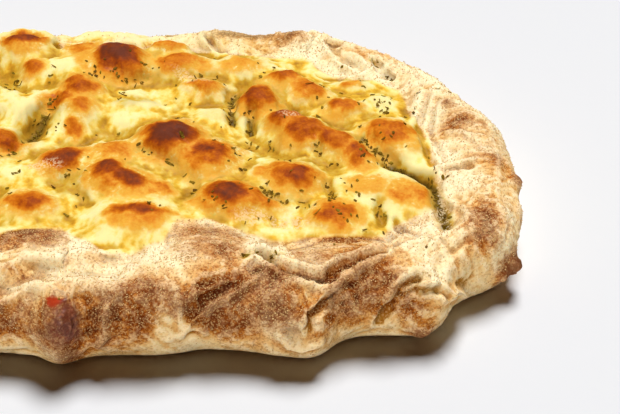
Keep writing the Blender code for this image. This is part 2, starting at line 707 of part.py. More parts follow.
def make_flake(draw: random.Random) -> bmesh.types.BMesh:
    """Makes one flake as a flattened, uneven lens."""
    flake = bmesh.new()
    bmesh.ops.create_icosphere(flake, subdivisions=1, radius=0.5)
    length = FLAKE_LENGTH * draw.uniform(0.75, 1.35)
    width = FLAKE_WIDTH * draw.uniform(0.7, 1.15)
    for vertex in flake.verts:
        vertex.co *= draw.uniform(0.85, 1.15)
    size = Matrix.Diagonal((length * MM, width * MM, FLAKE_THICKNESS * MM, 1.0))
    flake.transform(size)
    return flake


def lay_flakes(bread: bpy.types.Object) -> bpy.types.Collection:
    """Lays the flakes on the bread, half sunk, each as an object of a collection."""
    herbs = bpy.data.collections.new("herbs")
    bpy.context.scene.collection.children.link(herbs)
    tree = BVHTree.FromObject(bread, bpy.context.evaluated_depsgraph_get())
    draw = random.Random(HERB_SEED)
    laid = []
    for x, y in flake_places():
        spot, normal, _, _ = tree.ray_cast(Vector((x * MM, y * MM, 1.0)), Vector((0.0, 0.0, -1.0)))
        if spot is None or any((spot - other).length < 1.3 * FLAKE_LENGTH * MM for other in laid):
            continue
        laid.append(spot)
        flake = make_flake(draw)
        spin = Euler((draw.gauss(0.0, 0.25), draw.gauss(0.0, 0.25), draw.uniform(0.0, math.tau)))
        lie = normal.to_track_quat("Z", "Y").to_matrix() @ spin.to_matrix()
        flake.transform(Matrix.Translation(spot) @ lie.to_4x4())
        mesh = bpy.data.meshes.new("flake")
        flake.to_mesh(mesh)
        flake.free()
        herbs.objects.link(bpy.data.objects.new("flake", mesh))
    return herbs


def fuse_flakes(bread: bpy.types.Object) -> None:
    """Joins the flakes to the bread in one union, and removes their own objects."""
    herbs = lay_flakes(bread)
    union = bread.modifiers.new("herbs", "BOOLEAN")
    union.operation = "UNION"
    union.operand_type = "COLLECTION"
    union.collection = herbs
    union.solver = "MANIFOLD"
    apply_modifier(bread)
    for flake in list(herbs.objects):
        bpy.data.objects.remove(flake, do_unlink=True)
    bpy.data.collections.remove(herbs)


def centre_on_base(bread: bpy.types.Object) -> None:
    """Moves the mesh so that the origin is under the middle of the box round it."""
    corners = np.array([vertex.co for vertex in bread.data.vertices])
    low = corners.min(axis=0)
    high = corners.max(axis=0)
    middle = Vector((0.5 * (low[0] + high[0]), 0.5 * (low[1] + high[1]), low[2]))
    bread.data.transform(Matrix.Translation(-middle))


def baked_dough() -> bpy.types.Material:
    """Makes the material of pale, lightly browned bread."""
    material = bpy.data.materials.new("baked_dough")
    material.use_nodes = True
    shader = material.node_tree.nodes["Principled BSDF"]
    shader.inputs["Base Color"].default_value = (0.80, 0.56, 0.25, 1.0)
    shader.inputs["Roughness"].default_value = 0.6
    shader.inputs["Metallic"].default_value = 0.0
    return material


def build() -> None:
    """Builds the focaccia."""
    clear_scene()
    bread = make_bread()
    fuse_flakes(bread)
    centre_on_base(bread)
    bread.data.shade_smooth()
    bread.data.materials.clear()
    bread.data.materials.append(baked_dough())


build()
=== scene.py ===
"""The looks of a long, oval, hand-shaped focaccia.

The fine skin of the bread follows the same rules as its plain solid, at a closer spacing, and
takes that solid's place. Its baking is worked out at each point of the skin: toasted blisters,
browned and floury rim, oil stains and painted shade in the hollows and creases, painted light on
the crests. Dried herbs and grains of semolina lie on it as meshes of their own. Sizes are in
millimetres until a mesh is written, which is in metres.
"""

from __future__ import annotations

import logging
import math
import random
from dataclasses import dataclass, field
from enum import Enum
from typing import TypeVar

import bpy
import numpy as np
from mathutils import Matrix, Vector, noise
from mathutils.bvhtree import BVHTree
from mathutils.geometry import delaunay_2d_cdt

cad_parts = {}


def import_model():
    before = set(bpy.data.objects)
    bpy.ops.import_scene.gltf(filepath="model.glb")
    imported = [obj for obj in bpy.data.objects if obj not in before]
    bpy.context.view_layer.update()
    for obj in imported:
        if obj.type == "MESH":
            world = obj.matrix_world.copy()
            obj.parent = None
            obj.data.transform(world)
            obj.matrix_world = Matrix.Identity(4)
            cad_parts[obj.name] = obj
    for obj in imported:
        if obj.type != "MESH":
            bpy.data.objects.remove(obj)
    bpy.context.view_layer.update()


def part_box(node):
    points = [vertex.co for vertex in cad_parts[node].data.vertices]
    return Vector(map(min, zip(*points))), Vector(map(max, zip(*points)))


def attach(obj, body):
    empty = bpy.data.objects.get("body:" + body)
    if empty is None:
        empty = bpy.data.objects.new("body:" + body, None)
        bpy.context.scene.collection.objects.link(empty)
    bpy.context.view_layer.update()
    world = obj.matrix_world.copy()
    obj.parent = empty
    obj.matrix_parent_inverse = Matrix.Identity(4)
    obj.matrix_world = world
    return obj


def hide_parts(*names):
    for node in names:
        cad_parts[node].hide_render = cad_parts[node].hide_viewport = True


LOG = logging.getLogger("focaccia")
MM = 0.001
NODE = "focaccia"
BODY = "root"

TINT = "tint"
STATIONS = (-0.5, -0.17, 0.17, 0.5)

Array = np.ndarray
Pair = tuple[float, float]
Colour = tuple[float, float, float]
ColourRow = tuple[tuple[float, Colour], ...]
Input = "Signal | Colour | float"
Kind = TypeVar("Kind")


def made_of(kind: type[Kind], *rows: tuple) -> tuple[Kind, ...]:
    """Makes one thing of a kind from each row of its values, in the order of its fields."""
    return tuple(kind(*row) for row in rows)


def per_metre(length: float) -> float:
    """Returns how many swells of a length in millimetres go into a metre."""
    return 1.0 / (length * MM)


class Mask(Enum):
    """The named values that the bread's mesh carries at each point."""

    TOAST = "toast"
    RIM = "rim"
    BROWN_AND_SHADE = "brown_and_shade"
    FLOUR = "flour"
    OIL_AND_SHADE = "oil_and_shade"
    HOLLOW = "hollow"
    CREASE = "crease"
    BURST = "burst"
    SCALD = "scald"


class HerbForm(Enum):
    """The two forms of the dried herbs."""

    LEAF = "leaf"
    STALK = "stalk"


@dataclass(frozen=True)
class Bulge:
    """A place where the outline was pushed out, or in: degrees round, mm out, degrees wide."""

    angle: float
    reach: float
    spread: float


@dataclass(frozen=True)
class Section:
    """The rim at one place: degrees round the loaf, width from waist to crumb, height."""

    angle: float
    width: float
    height: float


@dataclass(frozen=True)
class Blister:
    """A dome of crumb: middle, half sizes, turn in degrees, top, and how dark it is baked."""

    x: float
    y: float
    half_x: float
    half_y: float
    turn: float
    top: float
    toast: float


@dataclass(frozen=True)
class Fold:
    """A crease, or a ridge if depth is negative, along points (degrees round, mm up the face)."""

    path: tuple[Pair, ...]
    depth: float
    width: float
    lip: float = 0.0


@dataclass(frozen=True)
class Bump:
    """A swelling, or a hollow if reach is negative, in the rim's own coordinates."""

    angle: float
    up: float
    half_along: float
    half_up: float
    reach: float


@dataclass(frozen=True)
class Crevice:
    """A narrow gap of the crumb along points of the plan, with its depth, width, and its oil stain and
    painted shade.
    """

    path: tuple[Pair, ...]
    depth: float
    width: float
    oil_and_shade: float = 0.0

    def distance(self, xy: Array) -> Array:
        """Returns how far points of the plan are from the crevice's line."""
        nearest = np.full(len(xy), 1e6)
        for start, end in zip(self.path, self.path[1:]):
            run = np.array(end) - np.array(start)
            offset = xy - np.array(start)
            share = np.clip(offset @ run / (run @ run), 0.0, 1.0)
            nearest = np.minimum(nearest, np.linalg.norm(offset - share[:, None] * run, axis=1))
        return nearest


CREVICES = made_of(
    Crevice,
    (((122, 9), (127, 0), (132, -5), (137, -10), (142, -15), (151, -19)), 4.2, 4.4, 1),
    (((151, -19), (155, -27), (157, -37), (159, -48), (159, -58)), 5, 4.6, 1),
    (((74, -82.5), (78, -80), (81, -79)), 2.6, 2.6, 0.85), (((64, -84), (67, -82.5)), 2, 2.2, 0.75),
    (((127.5, 83.5), (129.5, 82), (131.5, 80.5)), 1.7, 1.2, 0.85),
    (((134, 73.5), (136, 70.5), (138, 68)), 1.9, 1.2, 0.9),
    (((-39, 42), (-45.5, 24), (-52, 8)), 4.5, 5, 0.9),
    (((53.6, 50), (52.6, 38), (53.8, 24)), 3.6, 2.6, 1), (((62.5, 31), (63.2, 18)), 3, 2.2, 1),
    (((-66, -6), (-54, -3)), 3.2, 3.2, 0.8), (((9, -6), (18, -10), (26, -14)), 2.6, 3, 0.6),
    (((97, 5), (98.5, -4)), 2.4, 2.2, 0.7), (((103, -25), (104.5, -38)), 2.6, 2.2, 0.7),
    (((127, -42), (128.5, -53)), 2.6, 2.4, 0.7), (((72, -36), (82, -42)), 2.2, 2.4, 0.8),
    (((28, 3), (33, -3)), 1.8, 2.4, 0.6), (((-14, 62), (-3, 56), (8, 60)), 2.4, 3.2, 0.6),
    (((30, 62), (44, 63)), 1.8, 2.6, 0.5), (((86, 34), (92, 22)), 2, 2.6, 0.6),
    (((30, -18), (38, -28), (34, -38)), 2.2, 3, 0.5), (((-22, -30), (-14, -42)), 2.2, 3, 0.5),
)
RIM_CREASES = made_of(
    Crevice,
    (
        ((72, -82), (78, -89), (86, -96), (95, -98), (102, -98), (108, -91), (118, -86), (126, -80)),
        4.6, 2.4,
    ),
    (((126, -80), (134, -71), (141, -68), (149, -66)), 1.6, 2.2),
    (((149, -64), (152, -69), (154, -73), (155, -79)), 0.5, 1.3),
    (((153, -63), (157, -69), (161, -74), (164, -80)), 0.5, 1.4),
    (((157, -64), (163, -70), (169, -74), (172, -77)), 0.4, 1.4),
    (((146, -69), (149, -75), (150, -82)), 0.5, 1.2),
    (((167, -57), (167, -65), (169, -72)), 0.35, 1.8),
    (((175, -42), (173, -53), (174, -62), (177, -68)), 0.5, 2.2),
    (((164, -24), (166, -36), (165, -51), (162, -62)), 0.6, 2),
    (((155, 47), (152, 38), (151, 24), (152, 9), (155, -9)), 1.6, 2.2),
    (((160, 42), (157, 32), (156, 20), (158, 6), (161, -10)), 1.2, 1.6),
    (((161, -15), (167, -14), (173, -15)), 1.5, 1.8), (((135, -54), (138, -60), (144, -64)), 1.6, 2),
    (((40, -113), (47, -107), (55, -104), (63, -99), (70, -94)), 2.1, 2.2),
    (((44, -103), (53, -100), (62, -96), (68, -90)), 1.5, 1.8),
    (((103, 100), (106.5, 98.5), (110, 97)), 1.7, 1.3),
    (((119, 92), (124, 86), (127, 80), (131, 75)), 0.8, 1.6),
    (((99, 73), (104, 70.5), (109, 70), (113, 72.5)), 1.4, 1.5),
    (((148, 78), (153, 65), (156, 51)), 0.9, 2),
)


@dataclass(frozen=True)
class Patch:
    """A patch of the crumb, stained with oil and painted shade, floured or browned: middle, half sizes,
    turn, strength.
    """

    x: float
    y: float
    half_x: float
    half_y: float
    turn: float
    strength: float


@dataclass(frozen=True)
class RimPatch:
    """A browned patch of the rim, in the rim's own coordinates."""

    angle: float
    up: float
    half_along: float
    half_up: float
    strength: float


@dataclass(frozen=True)
class Drift:
    """A place where the herbs lie close together, with its spread and number of flakes."""

    x: float
    y: float
    spread_x: float
    spread_y: float
    flakes: int


def wrap_degrees(angle: Array) -> Array:
    """Brings angles into the range from -180 to 180 degrees."""
    return (angle + 180.0) % 360.0 - 180.0


def smooth_between(at: Array, knots: Array, values: Array) -> Array:
    """Eases from each value to the next one between the knots.

    Args:
        at: where the values are wanted.
        knots: the places of the values, rising.
        values: the value at each knot.

    Returns:
        One value for each place.
    """
    right = np.clip(np.searchsorted(knots, at), 1, len(knots) - 1)
    left = right - 1
    share = (at - knots[left]) / (knots[right] - knots[left])
    share = share * share * (3.0 - 2.0 * share)
    return values[left] * (1.0 - share) + values[right] * share


def ease(value: Array, low: float, high: float) -> Array:
    """Returns 0 below low, 1 above high and a smooth change between them."""
    share = np.clip((value - low) / (high - low), 0.0, 1.0)
    return share * share * (3.0 - 2.0 * share)


def oval_radius(xy: Array, oval: Blister | Patch) -> Array:
    """Returns how far points are from an oval's middle, as a share of its half sizes."""
    angle = math.radians(oval.turn)
    dx = xy[:, 0] - oval.x
    dy = xy[:, 1] - oval.y
    along = (dx * math.cos(angle) + dy * math.sin(angle)) / oval.half_x
    across = (dy * math.cos(angle) - dx * math.sin(angle)) / oval.half_y
    return np.hypot(along, across)


def fractal(points: Array, length: float, octaves: int) -> Array:
    """Returns fractal noise, about -1 to 1, whose coarsest swell has the given length."""
    return np.array([noise.fractal(Vector(p) / length, 0.8, 2.1, octaves) for p in points])


def swell(points: Array, length: float) -> Array:
    """Returns plain noise, about -1 to 1, whose swells have the given length."""
    return np.array([noise.noise(Vector(p) / length) for p in points])


def pattern(a: Array, b: Array, seed: float) -> Array:
    """Returns plain noise over two coordinates, at a place in the noise given by the seed."""
    return np.array([noise.noise(Vector((x, y, seed))) for x, y in zip(a, b)])


def at_height(xy: Array, z: float) -> Array:
    """Returns points of the plan as points in space at one height."""
    return np.column_stack((xy, np.full(len(xy), z)))


def angle_in_turn(draw: random.Random, span: Pair, k: int, count: int) -> float:
    """Draws an angle from one of the equal stretches of a span of the rim."""
    return span[0] + (span[1] - span[0]) * (k + draw.random()) / count


def warp(xy: Array, length: float, reach: float, seed: float) -> Array:
    """Moves points of the plan about by noise, so that what follows them turns out uneven.

    Args:
        xy: points in plan.
        length: the size of the noise's coarsest swells.
        reach: how far a point moves at most, roughly.
        seed: a place in the noise.

    Returns:
        The moved points.
    """
    rows = [noise.noise_vector(Vector((x / length, y / length, seed))) for x, y in xy]
    fine = [noise.noise_vector(Vector((2.6 * x / length, 2.6 * y / length, seed))) for x, y in xy]
    return xy + reach * (np.array(rows)[:, :2] + 0.45 * np.array(fine)[:, :2])


@dataclass
class LoafPlan:
    """The outline of the loaf and the rim's section at any place along it."""

    half_length: float = 200.0
    half_width: float = 117.0
    power: float = 2.4
    samples: int = 2160
    normal_spread: float = 14.0
    crest_share: float = 0.45
    bulges: tuple[Bulge, ...] = made_of(
        Bulge,
        (-18.5, 10, 6), (-33.5, 15, 5.5), (-51, 11, 6), (-68, -3, 5), (-100, 6, 5), (16, -8, 8),
        (36, 5, 5), (50, 14, 7), (71, 3, 8), (97, -1, 6), (126, 6, 6), (150, 5, 8), (172, -3, 9),
        (-163, 5, 9), (-145, 4, 6), (-128, 5, 5),
    )
    sections: tuple[Section, ...] = made_of(
        Section,
        (3, 48, 40), (12, 38, 40), (22, 31, 39), (34, 36, 38), (48, 33, 37), (58, 28, 36),
        (71, 25, 37), (90, 25, 37), (109, 25, 35), (125, 27, 33), (142, 35, 36), (160, 43, 39),
        (178, 46, 40), (195, 41, 38), (212, 47, 40), (230, 54, 39), (245, 61, 38), (258, 55, 39),
        (272, 39, 39), (287, 51, 41), (299, 68, 42), (309, 63, 41), (320, 50, 40), (335, 42, 38),
        (353, 44, 39),
    )

    def __post_init__(self) -> None:
        """Makes the outline and the rim's width, height and crest along it."""
        self.points, self.inward, self.angles, self.length = self.outline()
        self.step = self.length / self.samples
        rows = sorted((wrap_degrees(s.angle), s.width, s.height) for s in self.sections)
        self.knots = np.array([(a + turn, w, h) for turn in (-360.0, 0.0, 360.0) for a, w, h in rows])
        self.width, self.height, self.crest = self.section(self.angles)

    def outline(self) -> tuple[Array, Array, Array, float]:
        """Makes the superellipse with its listed bulges.

        Returns:
            Points at equal steps, their inward normals, their angles and the whole length.
        """
        fine = np.linspace(-180.0, 180.0, 8 * self.samples, endpoint=False)
        cos_a = np.cos(np.radians(fine))
        sin_a = np.sin(np.radians(fine))
        oval = np.abs(cos_a / self.half_length) ** self.power
        oval = oval + np.abs(sin_a / self.half_width) ** self.power
        radius = oval ** (-1.0 / self.power)
        for bulge in self.bulges:
            away = wrap_degrees(fine - bulge.angle) / bulge.spread
            radius = radius + bulge.reach * np.exp(-(away**2))
        loop = np.column_stack((radius * cos_a, radius * sin_a))
        closed = np.vstack((loop, loop[:1]))
        strides = np.linalg.norm(np.diff(closed, axis=0), axis=1)
        along = np.concatenate(([0.0], np.cumsum(strides)))
        steps = np.linspace(0.0, along[-1], self.samples, endpoint=False)
        points = np.column_stack([np.interp(steps, along, closed[:, k]) for k in range(2)])
        tangent = np.roll(points, -1, axis=0) - np.roll(points, 1, axis=0)
        window = int(self.normal_spread / (along[-1] / self.samples))
        tangent = sum(np.roll(tangent, k, axis=0) for k in range(-window, window + 1))
        tangent /= np.linalg.norm(tangent, axis=1, keepdims=True)
        inward = np.column_stack((-tangent[:, 1], tangent[:, 0]))
        angles = np.degrees(np.arctan2(points[:, 1], points[:, 0]))
        return points, inward, angles, float(along[-1])

    def section(self, angles: Array) -> tuple[Array, Array, Array]:
        """Returns the rim's width, its height and how far in its crest lies, at some angles."""
        width = smooth_between(angles, self.knots[:, 0], self.knots[:, 1])
        height = smooth_between(angles, self.knots[:, 0], self.knots[:, 2])
        return width, height, self.crest_share * width

    def along_of(self, angle: float) -> float:
        """Returns the distance along the outline of a place given by its angle."""
        return int(np.argmin(np.abs(wrap_degrees(self.angles - angle)))) * self.step

    def shortest(self, along: Array) -> Array:
        """Brings distances along the closed outline into the range of half its length."""
        half = 0.5 * self.length
        return (along + half) % self.length - half

    def nearest(self, xy: Array) -> tuple[Array, Array]:
        """Finds the outline's nearest point to each of the given points.

        Args:
            xy: points in plan.

        Returns:
            How deep each point lies inside, and the index of the nearest point.
        """
        block_size = 4000
        depth = np.empty(len(xy))
        index = np.empty(len(xy), dtype=int)
        for start in range(0, len(xy), block_size):
            block = xy[start : start + block_size]
            offset = block[:, None, :] - self.points[None, :, :]
            square = (offset**2).sum(axis=2)
            best = square.argmin(axis=1)
            index[start : start + block_size] = best
            depth[start : start + block_size] = np.sqrt(square[np.arange(len(block)), best])
        return depth, index


@dataclass
class TopForm:
    """The height of the bread's top: the rim's roll, the crumb and its blisters."""

    plan: LoafPlan
    waist_height: float = 15.0
    rim_power: float = 2.3
    inner_power: float = 2.6
    inner_foot: float = 21.0
    crumb: float = 33.0
    crumb_swell: float = 3.0
    crumb_swell_length: float = 45.0
    blister_foot: float = 31.0
    blister_spread: float = 1.35
    blister_power: float = 2.1
    crease_softness: float = 2.8
    rim_reach: Pair = (0.92, 1.02)
    rim_clear: Pair = (3.0, 8.0)
    warp_length: float = 20.0
    warp_reach: float = 3.6
    ridge_length: float = 24.0
    ridge_height: float = 2.6
    fill_seed: int = 5
    fill_left_of: float = -72.0
    fill_gap: float = 25.0
    fill_rim_clearance: float = 5.0
    fill_half_size: Pair = (12.0, 20.0)
    fill_top: Pair = (39.0, 48.0)
    fill_toast: Pair = (0.0, 1.1)
    fill_tries: int = 900
    back_blisters: tuple[Blister, ...] = made_of(
        Blister,
        (-63, 89, 20, 16, 0, 48, 0.35), (-28, 86, 14, 12, 0, 44, 0.5), (-10, 73, 20, 18, 0, 51, 1.1),
        (-35, 68, 22, 14, 0, 46, 0.05), (-55, 70, 9, 9, 0, 44, 0.55), (17, 87, 12, 8, 0, 46, 0.4),
        (24, 72, 22, 13, -10, 45, 0.45), (39, 52, 13, 10, 0, 44, 0.45), (57, 73, 20, 12, 0, 43, 0.25),
        (80, 58, 14, 9, -15, 44, 0.6), (93, 50, 15, 9, -20, 43, 0.5), (116, 58, 9, 6, 0, 40, 0.35),
    )
    middle_blisters: tuple[Blister, ...] = made_of(
        Blister,
        (-27, 49, 12, 12, 0, 47, 0.75), (-37, 39, 10, 10, 0, 45, 0.7), (-26, 32, 11, 11, 0, 44, 0.55),
        (-29, 41, 19, 21, 0, 43, 0.15), (-28, 18, 8, 8, 0, 37, 0.6), (-61, 5, 14, 14, 0, 44, 0.7),
        (-60, 38, 20, 16, 0, 45, 0.05), (0, 38, 15, 16, 0, 42, 0), (45, 27, 14, 12, 0, 41, 0.1),
        (67, 39, 14, 15, 0, 46, 0.85), (82, 20, 14, 10, 0, 45, 0.8), (93, 11, 16, 13, 0, 46, 0.75),
        (107, 4, 14, 12, 0, 44, 0.7), (110, 35, 12, 9, 0, 43, 0.65), (128, 40, 13, 12, 0, 39, 0.1),
        (135, 11, 17, 16, 0, 43, 0.6), (23, 5, 20, 18, 15, 49, 1.15), (43, -8, 18, 18, 0, 45, 0.7),
    )
    front_blisters: tuple[Blister, ...] = made_of(
        Blister,
        (-50, -18, 16, 12, 0, 40, 0.05), (-29, -11, 15, 13, 25, 44, 0.95),
        (-4, -6, 19, 14, 0, 44, 0.35), (-6, -23, 13, 13, 0, 45, 1), (6, -29, 14, 12, -20, 44, 1),
        (2, -30, 24, 18, -15, 41, 0.4), (20, -34, 10, 10, 0, 39, 0.5), (-42, -43, 15, 13, 0, 41, 0.65),
        (13, -57, 25, 20, 0, 44, 0.3), (54, -40, 18, 14, -10, 45, 1.1),
        (68, -43, 18, 11, -12, 41, 0.5), (87, -25, 15, 13, 0, 44, 0.8),
        (78, -20, 18, 14, 10, 42, 0.35), (119, -6, 11, 13, 0, 42, 0.8),
        (121, -29, 18, 13, 0, 41, 0.25), (141, -37, 16, 15, 0, 39, 0.38),
        (106, -51, 15, 12, 0, 41, 0.7),
    )
    blisters: list[Blister] = field(init=False)

    def __post_init__(self) -> None:
        """Joins the named blisters and those that a rule adds beyond them."""
        named = list(self.back_blisters + self.middle_blisters + self.front_blisters)
        self.blisters = named + self.fill(named)

    def fill(self, named: list[Blister]) -> list[Blister]:
        """Scatters blisters over the end of the crumb that the named ones leave bare.

        Args:
            named: the blisters that are listed.

        Returns:
            The added ones.
        """
        draw = random.Random(self.fill_seed)
        bake = random.Random(self.fill_seed + 1)
        plan = self.plan
        placed = [(b.x, b.y) for b in named if b.x < self.fill_left_of + self.fill_gap]
        found = []
        for _ in range(self.fill_tries):
            x = draw.uniform(-200.0, self.fill_left_of)
            y = draw.uniform(-117.0, 117.0)
            size = draw.uniform(*self.fill_half_size)
            top = draw.uniform(*self.fill_top)
            squash = draw.uniform(0.75, 1.0)
            turn = draw.uniform(-90.0, 90.0)
            depth, index = plan.nearest(np.array([[x, y]]))
            inside = math.hypot(x / plan.half_length, y / plan.half_width) < 1.0
            if not inside or depth[0] < plan.width[index[0]] - self.fill_rim_clearance:
                continue
            if any(math.hypot(x - px, y - py) < self.fill_gap for px, py in placed):
                continue
            placed.append((x, y))
            toast = bake.uniform(*self.fill_toast)
            found.append(Blister(x, y, size, size * squash, turn, top, toast))
        return found

    def rim_height(self, xy: Array, depth: Array) -> Array:
        """Returns the height of the rim's roll at points of the top."""
        width, height, crest = self.plan.section(np.degrees(np.arctan2(xy[:, 1], xy[:, 0])))
        outer = np.clip(1.0 - depth / crest, 0.0, 1.0)
        rise = height - self.waist_height
        rising = self.waist_height + rise * (1.0 - outer**self.rim_power) ** (1.0 / self.rim_power)
        inner = np.maximum(depth - crest, 0.0) / (width - crest)
        falling = height - (height - self.inner_foot) * inner**self.inner_power
        return np.where(depth < crest, rising, falling)

    def crumb_height(self, xy: Array) -> Array:
        """Returns the height of the crumb between the blisters."""
        swells = swell(at_height(xy, 0.0), self.crumb_swell_length)
        ridges = 1.0 - 2.0 * np.abs(swell(at_height(xy, 40.0), self.ridge_length))
        return self.crumb + self.crumb_swell * swells + self.ridge_height * ridges

    def blister_height(self, xy: Array, blister: Blister) -> Array:
        """Returns the height of one dome, which falls away without end outside its foot."""
        fall = (oval_radius(xy, blister) / self.blister_spread) ** self.blister_power
        return blister.top - (blister.top - self.blister_foot) * fall

    def heights(self, xy: Array, depth: Array) -> tuple[Array, Array]:
        """Blends the rim, the crumb and the blisters into one top.

        Args:
            xy: points in plan.
            depth: how deep they lie inside the outline.

        Returns:
            The height at each point, and the share that the rim has in it, from 0 to 1.
        """
        moved = warp(xy, self.warp_length, self.warp_reach, 3.0)
        domes = [self.blister_height(moved, blister) for blister in self.blisters]
        forms = [self.rim_height(xy, depth), self.crumb_height(xy)] + domes
        highest = np.max(forms, axis=0)
        near = [np.exp(np.maximum((form - highest) / self.crease_softness, -30.0)) for form in forms]
        width = self.plan.section(np.degrees(np.arctan2(xy[:, 1], xy[:, 0])))[0]
        reach = 1.0 - ease(depth / width + 0.04 * fractal(at_height(xy, 0.0), 9.0, 2), *self.rim_reach)
        clear = 1.0 - ease(np.max(domes, axis=0) - forms[0], *self.rim_clear)
        steep = 1.0 - ease(highest - forms[0], 3.0, 8.0)
        rim_share = np.maximum(steep, reach * clear)
        return highest + self.crease_softness * np.log(np.sum(near, axis=0)), rim_share


class Skin:
    """The fine mesh of the bread in millimetres, with rim coordinates for its vertices."""

    foot_inset = 13.0
    foot_power = 2.2
    face_end = math.radians(62.0)
    face_height = 24.0
    flat_below = 2.0
    relief_from = 7.0

    def __init__(self, form: TopForm, spacing: float, base_spacing: float) -> None:
        """Lays the rim's outer face, the top and the base.

        Args:
            form: the heights of the top.
            spacing: the distance between vertices that show.
            base_spacing: the distance between vertices of the flat underside.
        """
        self.form = form
        self.plan = form.plan
        self.columns = int(self.plan.length / spacing)
        self.column = (np.arange(self.columns) * self.plan.samples / self.columns).astype(int)
        self.blocks: list[Array] = []
        self.ups: list[Array] = []
        self.places: list[Array] = []
        self.faces: list[tuple[int, int, int]] = []
        self.lay_face(spacing)
        self.lay_top(spacing)
        self.lay_base(base_spacing)
        self.co = np.vstack(self.blocks)
        self.up = np.concatenate(self.ups)
        self.place = np.concatenate(self.places)
        self.triangles = np.array(self.faces)
        self.rim = np.ones(len(self.co))
        self.raise_top()

    def count(self) -> int:
        """Returns how many vertices are laid so far."""
        return sum(len(block) for block in self.blocks)

    def ring(self, inset: Array, height: Array) -> Array:
        """Returns one ring of the face at an inset and a height that change round the loaf."""
        xy = self.plan.points[self.column] + self.plan.inward[self.column] * inset[:, None]
        return np.column_stack((xy, height))

    def lay_face(self, spacing: float) -> None:
        """Lays the rings of the rim's outer face, from the foot up past the waist.

        Args:
            spacing: the distance between rings.
        """
        form = self.form
        crest = self.plan.crest[self.column]
        rise = self.plan.height[self.column] - form.waist_height
        rings = []
        foot_rings = max(3, round(math.hypot(self.foot_inset, form.waist_height) * 1.15 / spacing))
        for turn in np.linspace(math.pi / 2.0, 0.0, foot_rings, endpoint=False):
            inset = self.foot_inset * (1.0 - math.cos(turn) ** (2.0 / self.foot_power))
            height = form.waist_height * (1.0 - math.sin(turn) ** (2.0 / self.foot_power))
            rings.append(self.ring(np.full(self.columns, inset), np.full(self.columns, height)))
        face_rings = max(4, round(self.face_end * self.face_height / spacing))
        for turn in np.linspace(0.0, self.face_end, face_rings + 1):
            inset = crest * (1.0 - math.cos(turn) ** (2.0 / form.rim_power))
            height = form.waist_height + rise * math.sin(turn) ** (2.0 / form.rim_power)
            rings.append(self.ring(inset, height))
        strides = np.linalg.norm(np.diff(np.array(rings), axis=0), axis=2)
        travelled = np.concatenate((np.zeros((1, self.columns)), np.cumsum(strides, axis=0)))
        travelled -= travelled[foot_rings]
        for level, ring in enumerate(rings):
            self.blocks.append(ring)
            self.ups.append(travelled[level])
            self.places.append(self.column.copy())
        for level in range(len(rings) - 1):
            self.join(level * self.columns, (level + 1) * self.columns)
        self.rim_start = (len(rings) - 1) * self.columns
        self.end_inset = crest * (1.0 - math.cos(self.face_end) ** (2.0 / form.rim_power))
        self.end_up = travelled[-1]

    def join(self, low: int, high: int) -> None:
        """Joins two rings of vertices by triangles that face outward."""
        for k in range(self.columns):
            after = (k + 1) % self.columns
            self.faces.append((low + k, low + after, high + after))
            self.faces.append((low + k, high + after, high + k))

    def fill(self, ring: Array, inner: Array, first: int, upward: bool) -> None:
        """Fills a ring with triangles.

        Args:
            ring: the ring's points.
            inner: the points inside it.
            first: the number of the ring's first vertex.
            upward: whether the triangles face up.
        """
        start = self.count()
        flat = [Vector(p) for p in np.vstack((ring[:, :2], inner))]
        edges = [(k, (k + 1) % len(ring)) for k in range(len(ring))]
        verts, _, faces, origins, _, _ = delaunay_2d_cdt(flat, edges, [], 1, 1e-5)
        if len(verts) != len(flat):
            raise RuntimeError("the ring of the rim crosses itself")
        where = [first + o[0] if o[0] < len(ring) else start + o[0] - len(ring) for o in origins]
        for a, b, c in faces:
            face = (where[a], where[b], where[c])
            self.faces.append(face if upward else face[::-1])

    def grid(self, clearance: Array, spacing: float) -> tuple[Array, Array, Array]:
        """Makes a triangular grid of points inside the outline.

        Args:
            clearance: the least depth of a point, for each point of the outline.
            spacing: the distance between points.

        Returns:
            The points, their depths and the indices of the nearest points of the outline.
        """
        rows = []
        row_step = spacing * math.sqrt(0.75)
        reach = self.plan.points.max(axis=0) + spacing
        for level in range(int(-reach[1] / row_step), int(reach[1] / row_step) + 1):
            shift = 0.5 * spacing * (level % 2)
            xs = np.arange(-reach[0] - spacing, reach[0] + spacing, spacing) + shift
            rows.append(np.column_stack((xs, np.full(len(xs), level * row_step))))
        xy = np.vstack(rows)
        depth, index = self.plan.nearest(xy)
        outward = ((xy - self.plan.points[index]) * self.plan.inward[index]).sum(axis=1)
        keep = (outward > 0.0) & (depth > clearance[index])
        return xy[keep], depth[keep], index[keep]

    def lay_top(self, spacing: float) -> None:
        """Fills the last ring of the face with a grid; its heights are set later."""
        samples = np.arange(self.plan.samples)
        inset = np.interp(samples, self.column, self.end_inset)
        up = np.interp(samples, self.column, self.end_up)
        xy, depth, index = self.grid(inset + 0.75 * spacing, spacing)
        self.fill(self.blocks[-1], xy, self.rim_start, True)
        self.top_start = self.count()
        self.blocks.append(at_height(xy, 0.0))
        self.top_depth = depth
        self.ups.append(up[index] + depth - inset[index])
        self.places.append(index)

    def lay_base(self, spacing: float) -> None:
        """Fills the ring of the foot with a coarse, flat grid."""
        clearance = np.full(self.plan.samples, self.foot_inset + 0.7 * spacing)
        xy, _, index = self.grid(clearance, spacing)
        self.fill(self.blocks[0], xy, 0, False)
        self.blocks.append(at_height(xy, 0.0))
        self.ups.append(np.full(len(xy), -2.0 * self.form.waist_height))
        self.places.append(index)

    def raise_top(self) -> None:
        """Sets the heights of the top and how far each of its points belongs to the rim."""
        end = self.top_start + len(self.top_depth)
        height, rim = self.form.heights(self.co[self.top_start : end, :2], self.top_depth)
        self.co[self.top_start : end, 2] = height
        self.rim[self.top_start : end] = rim

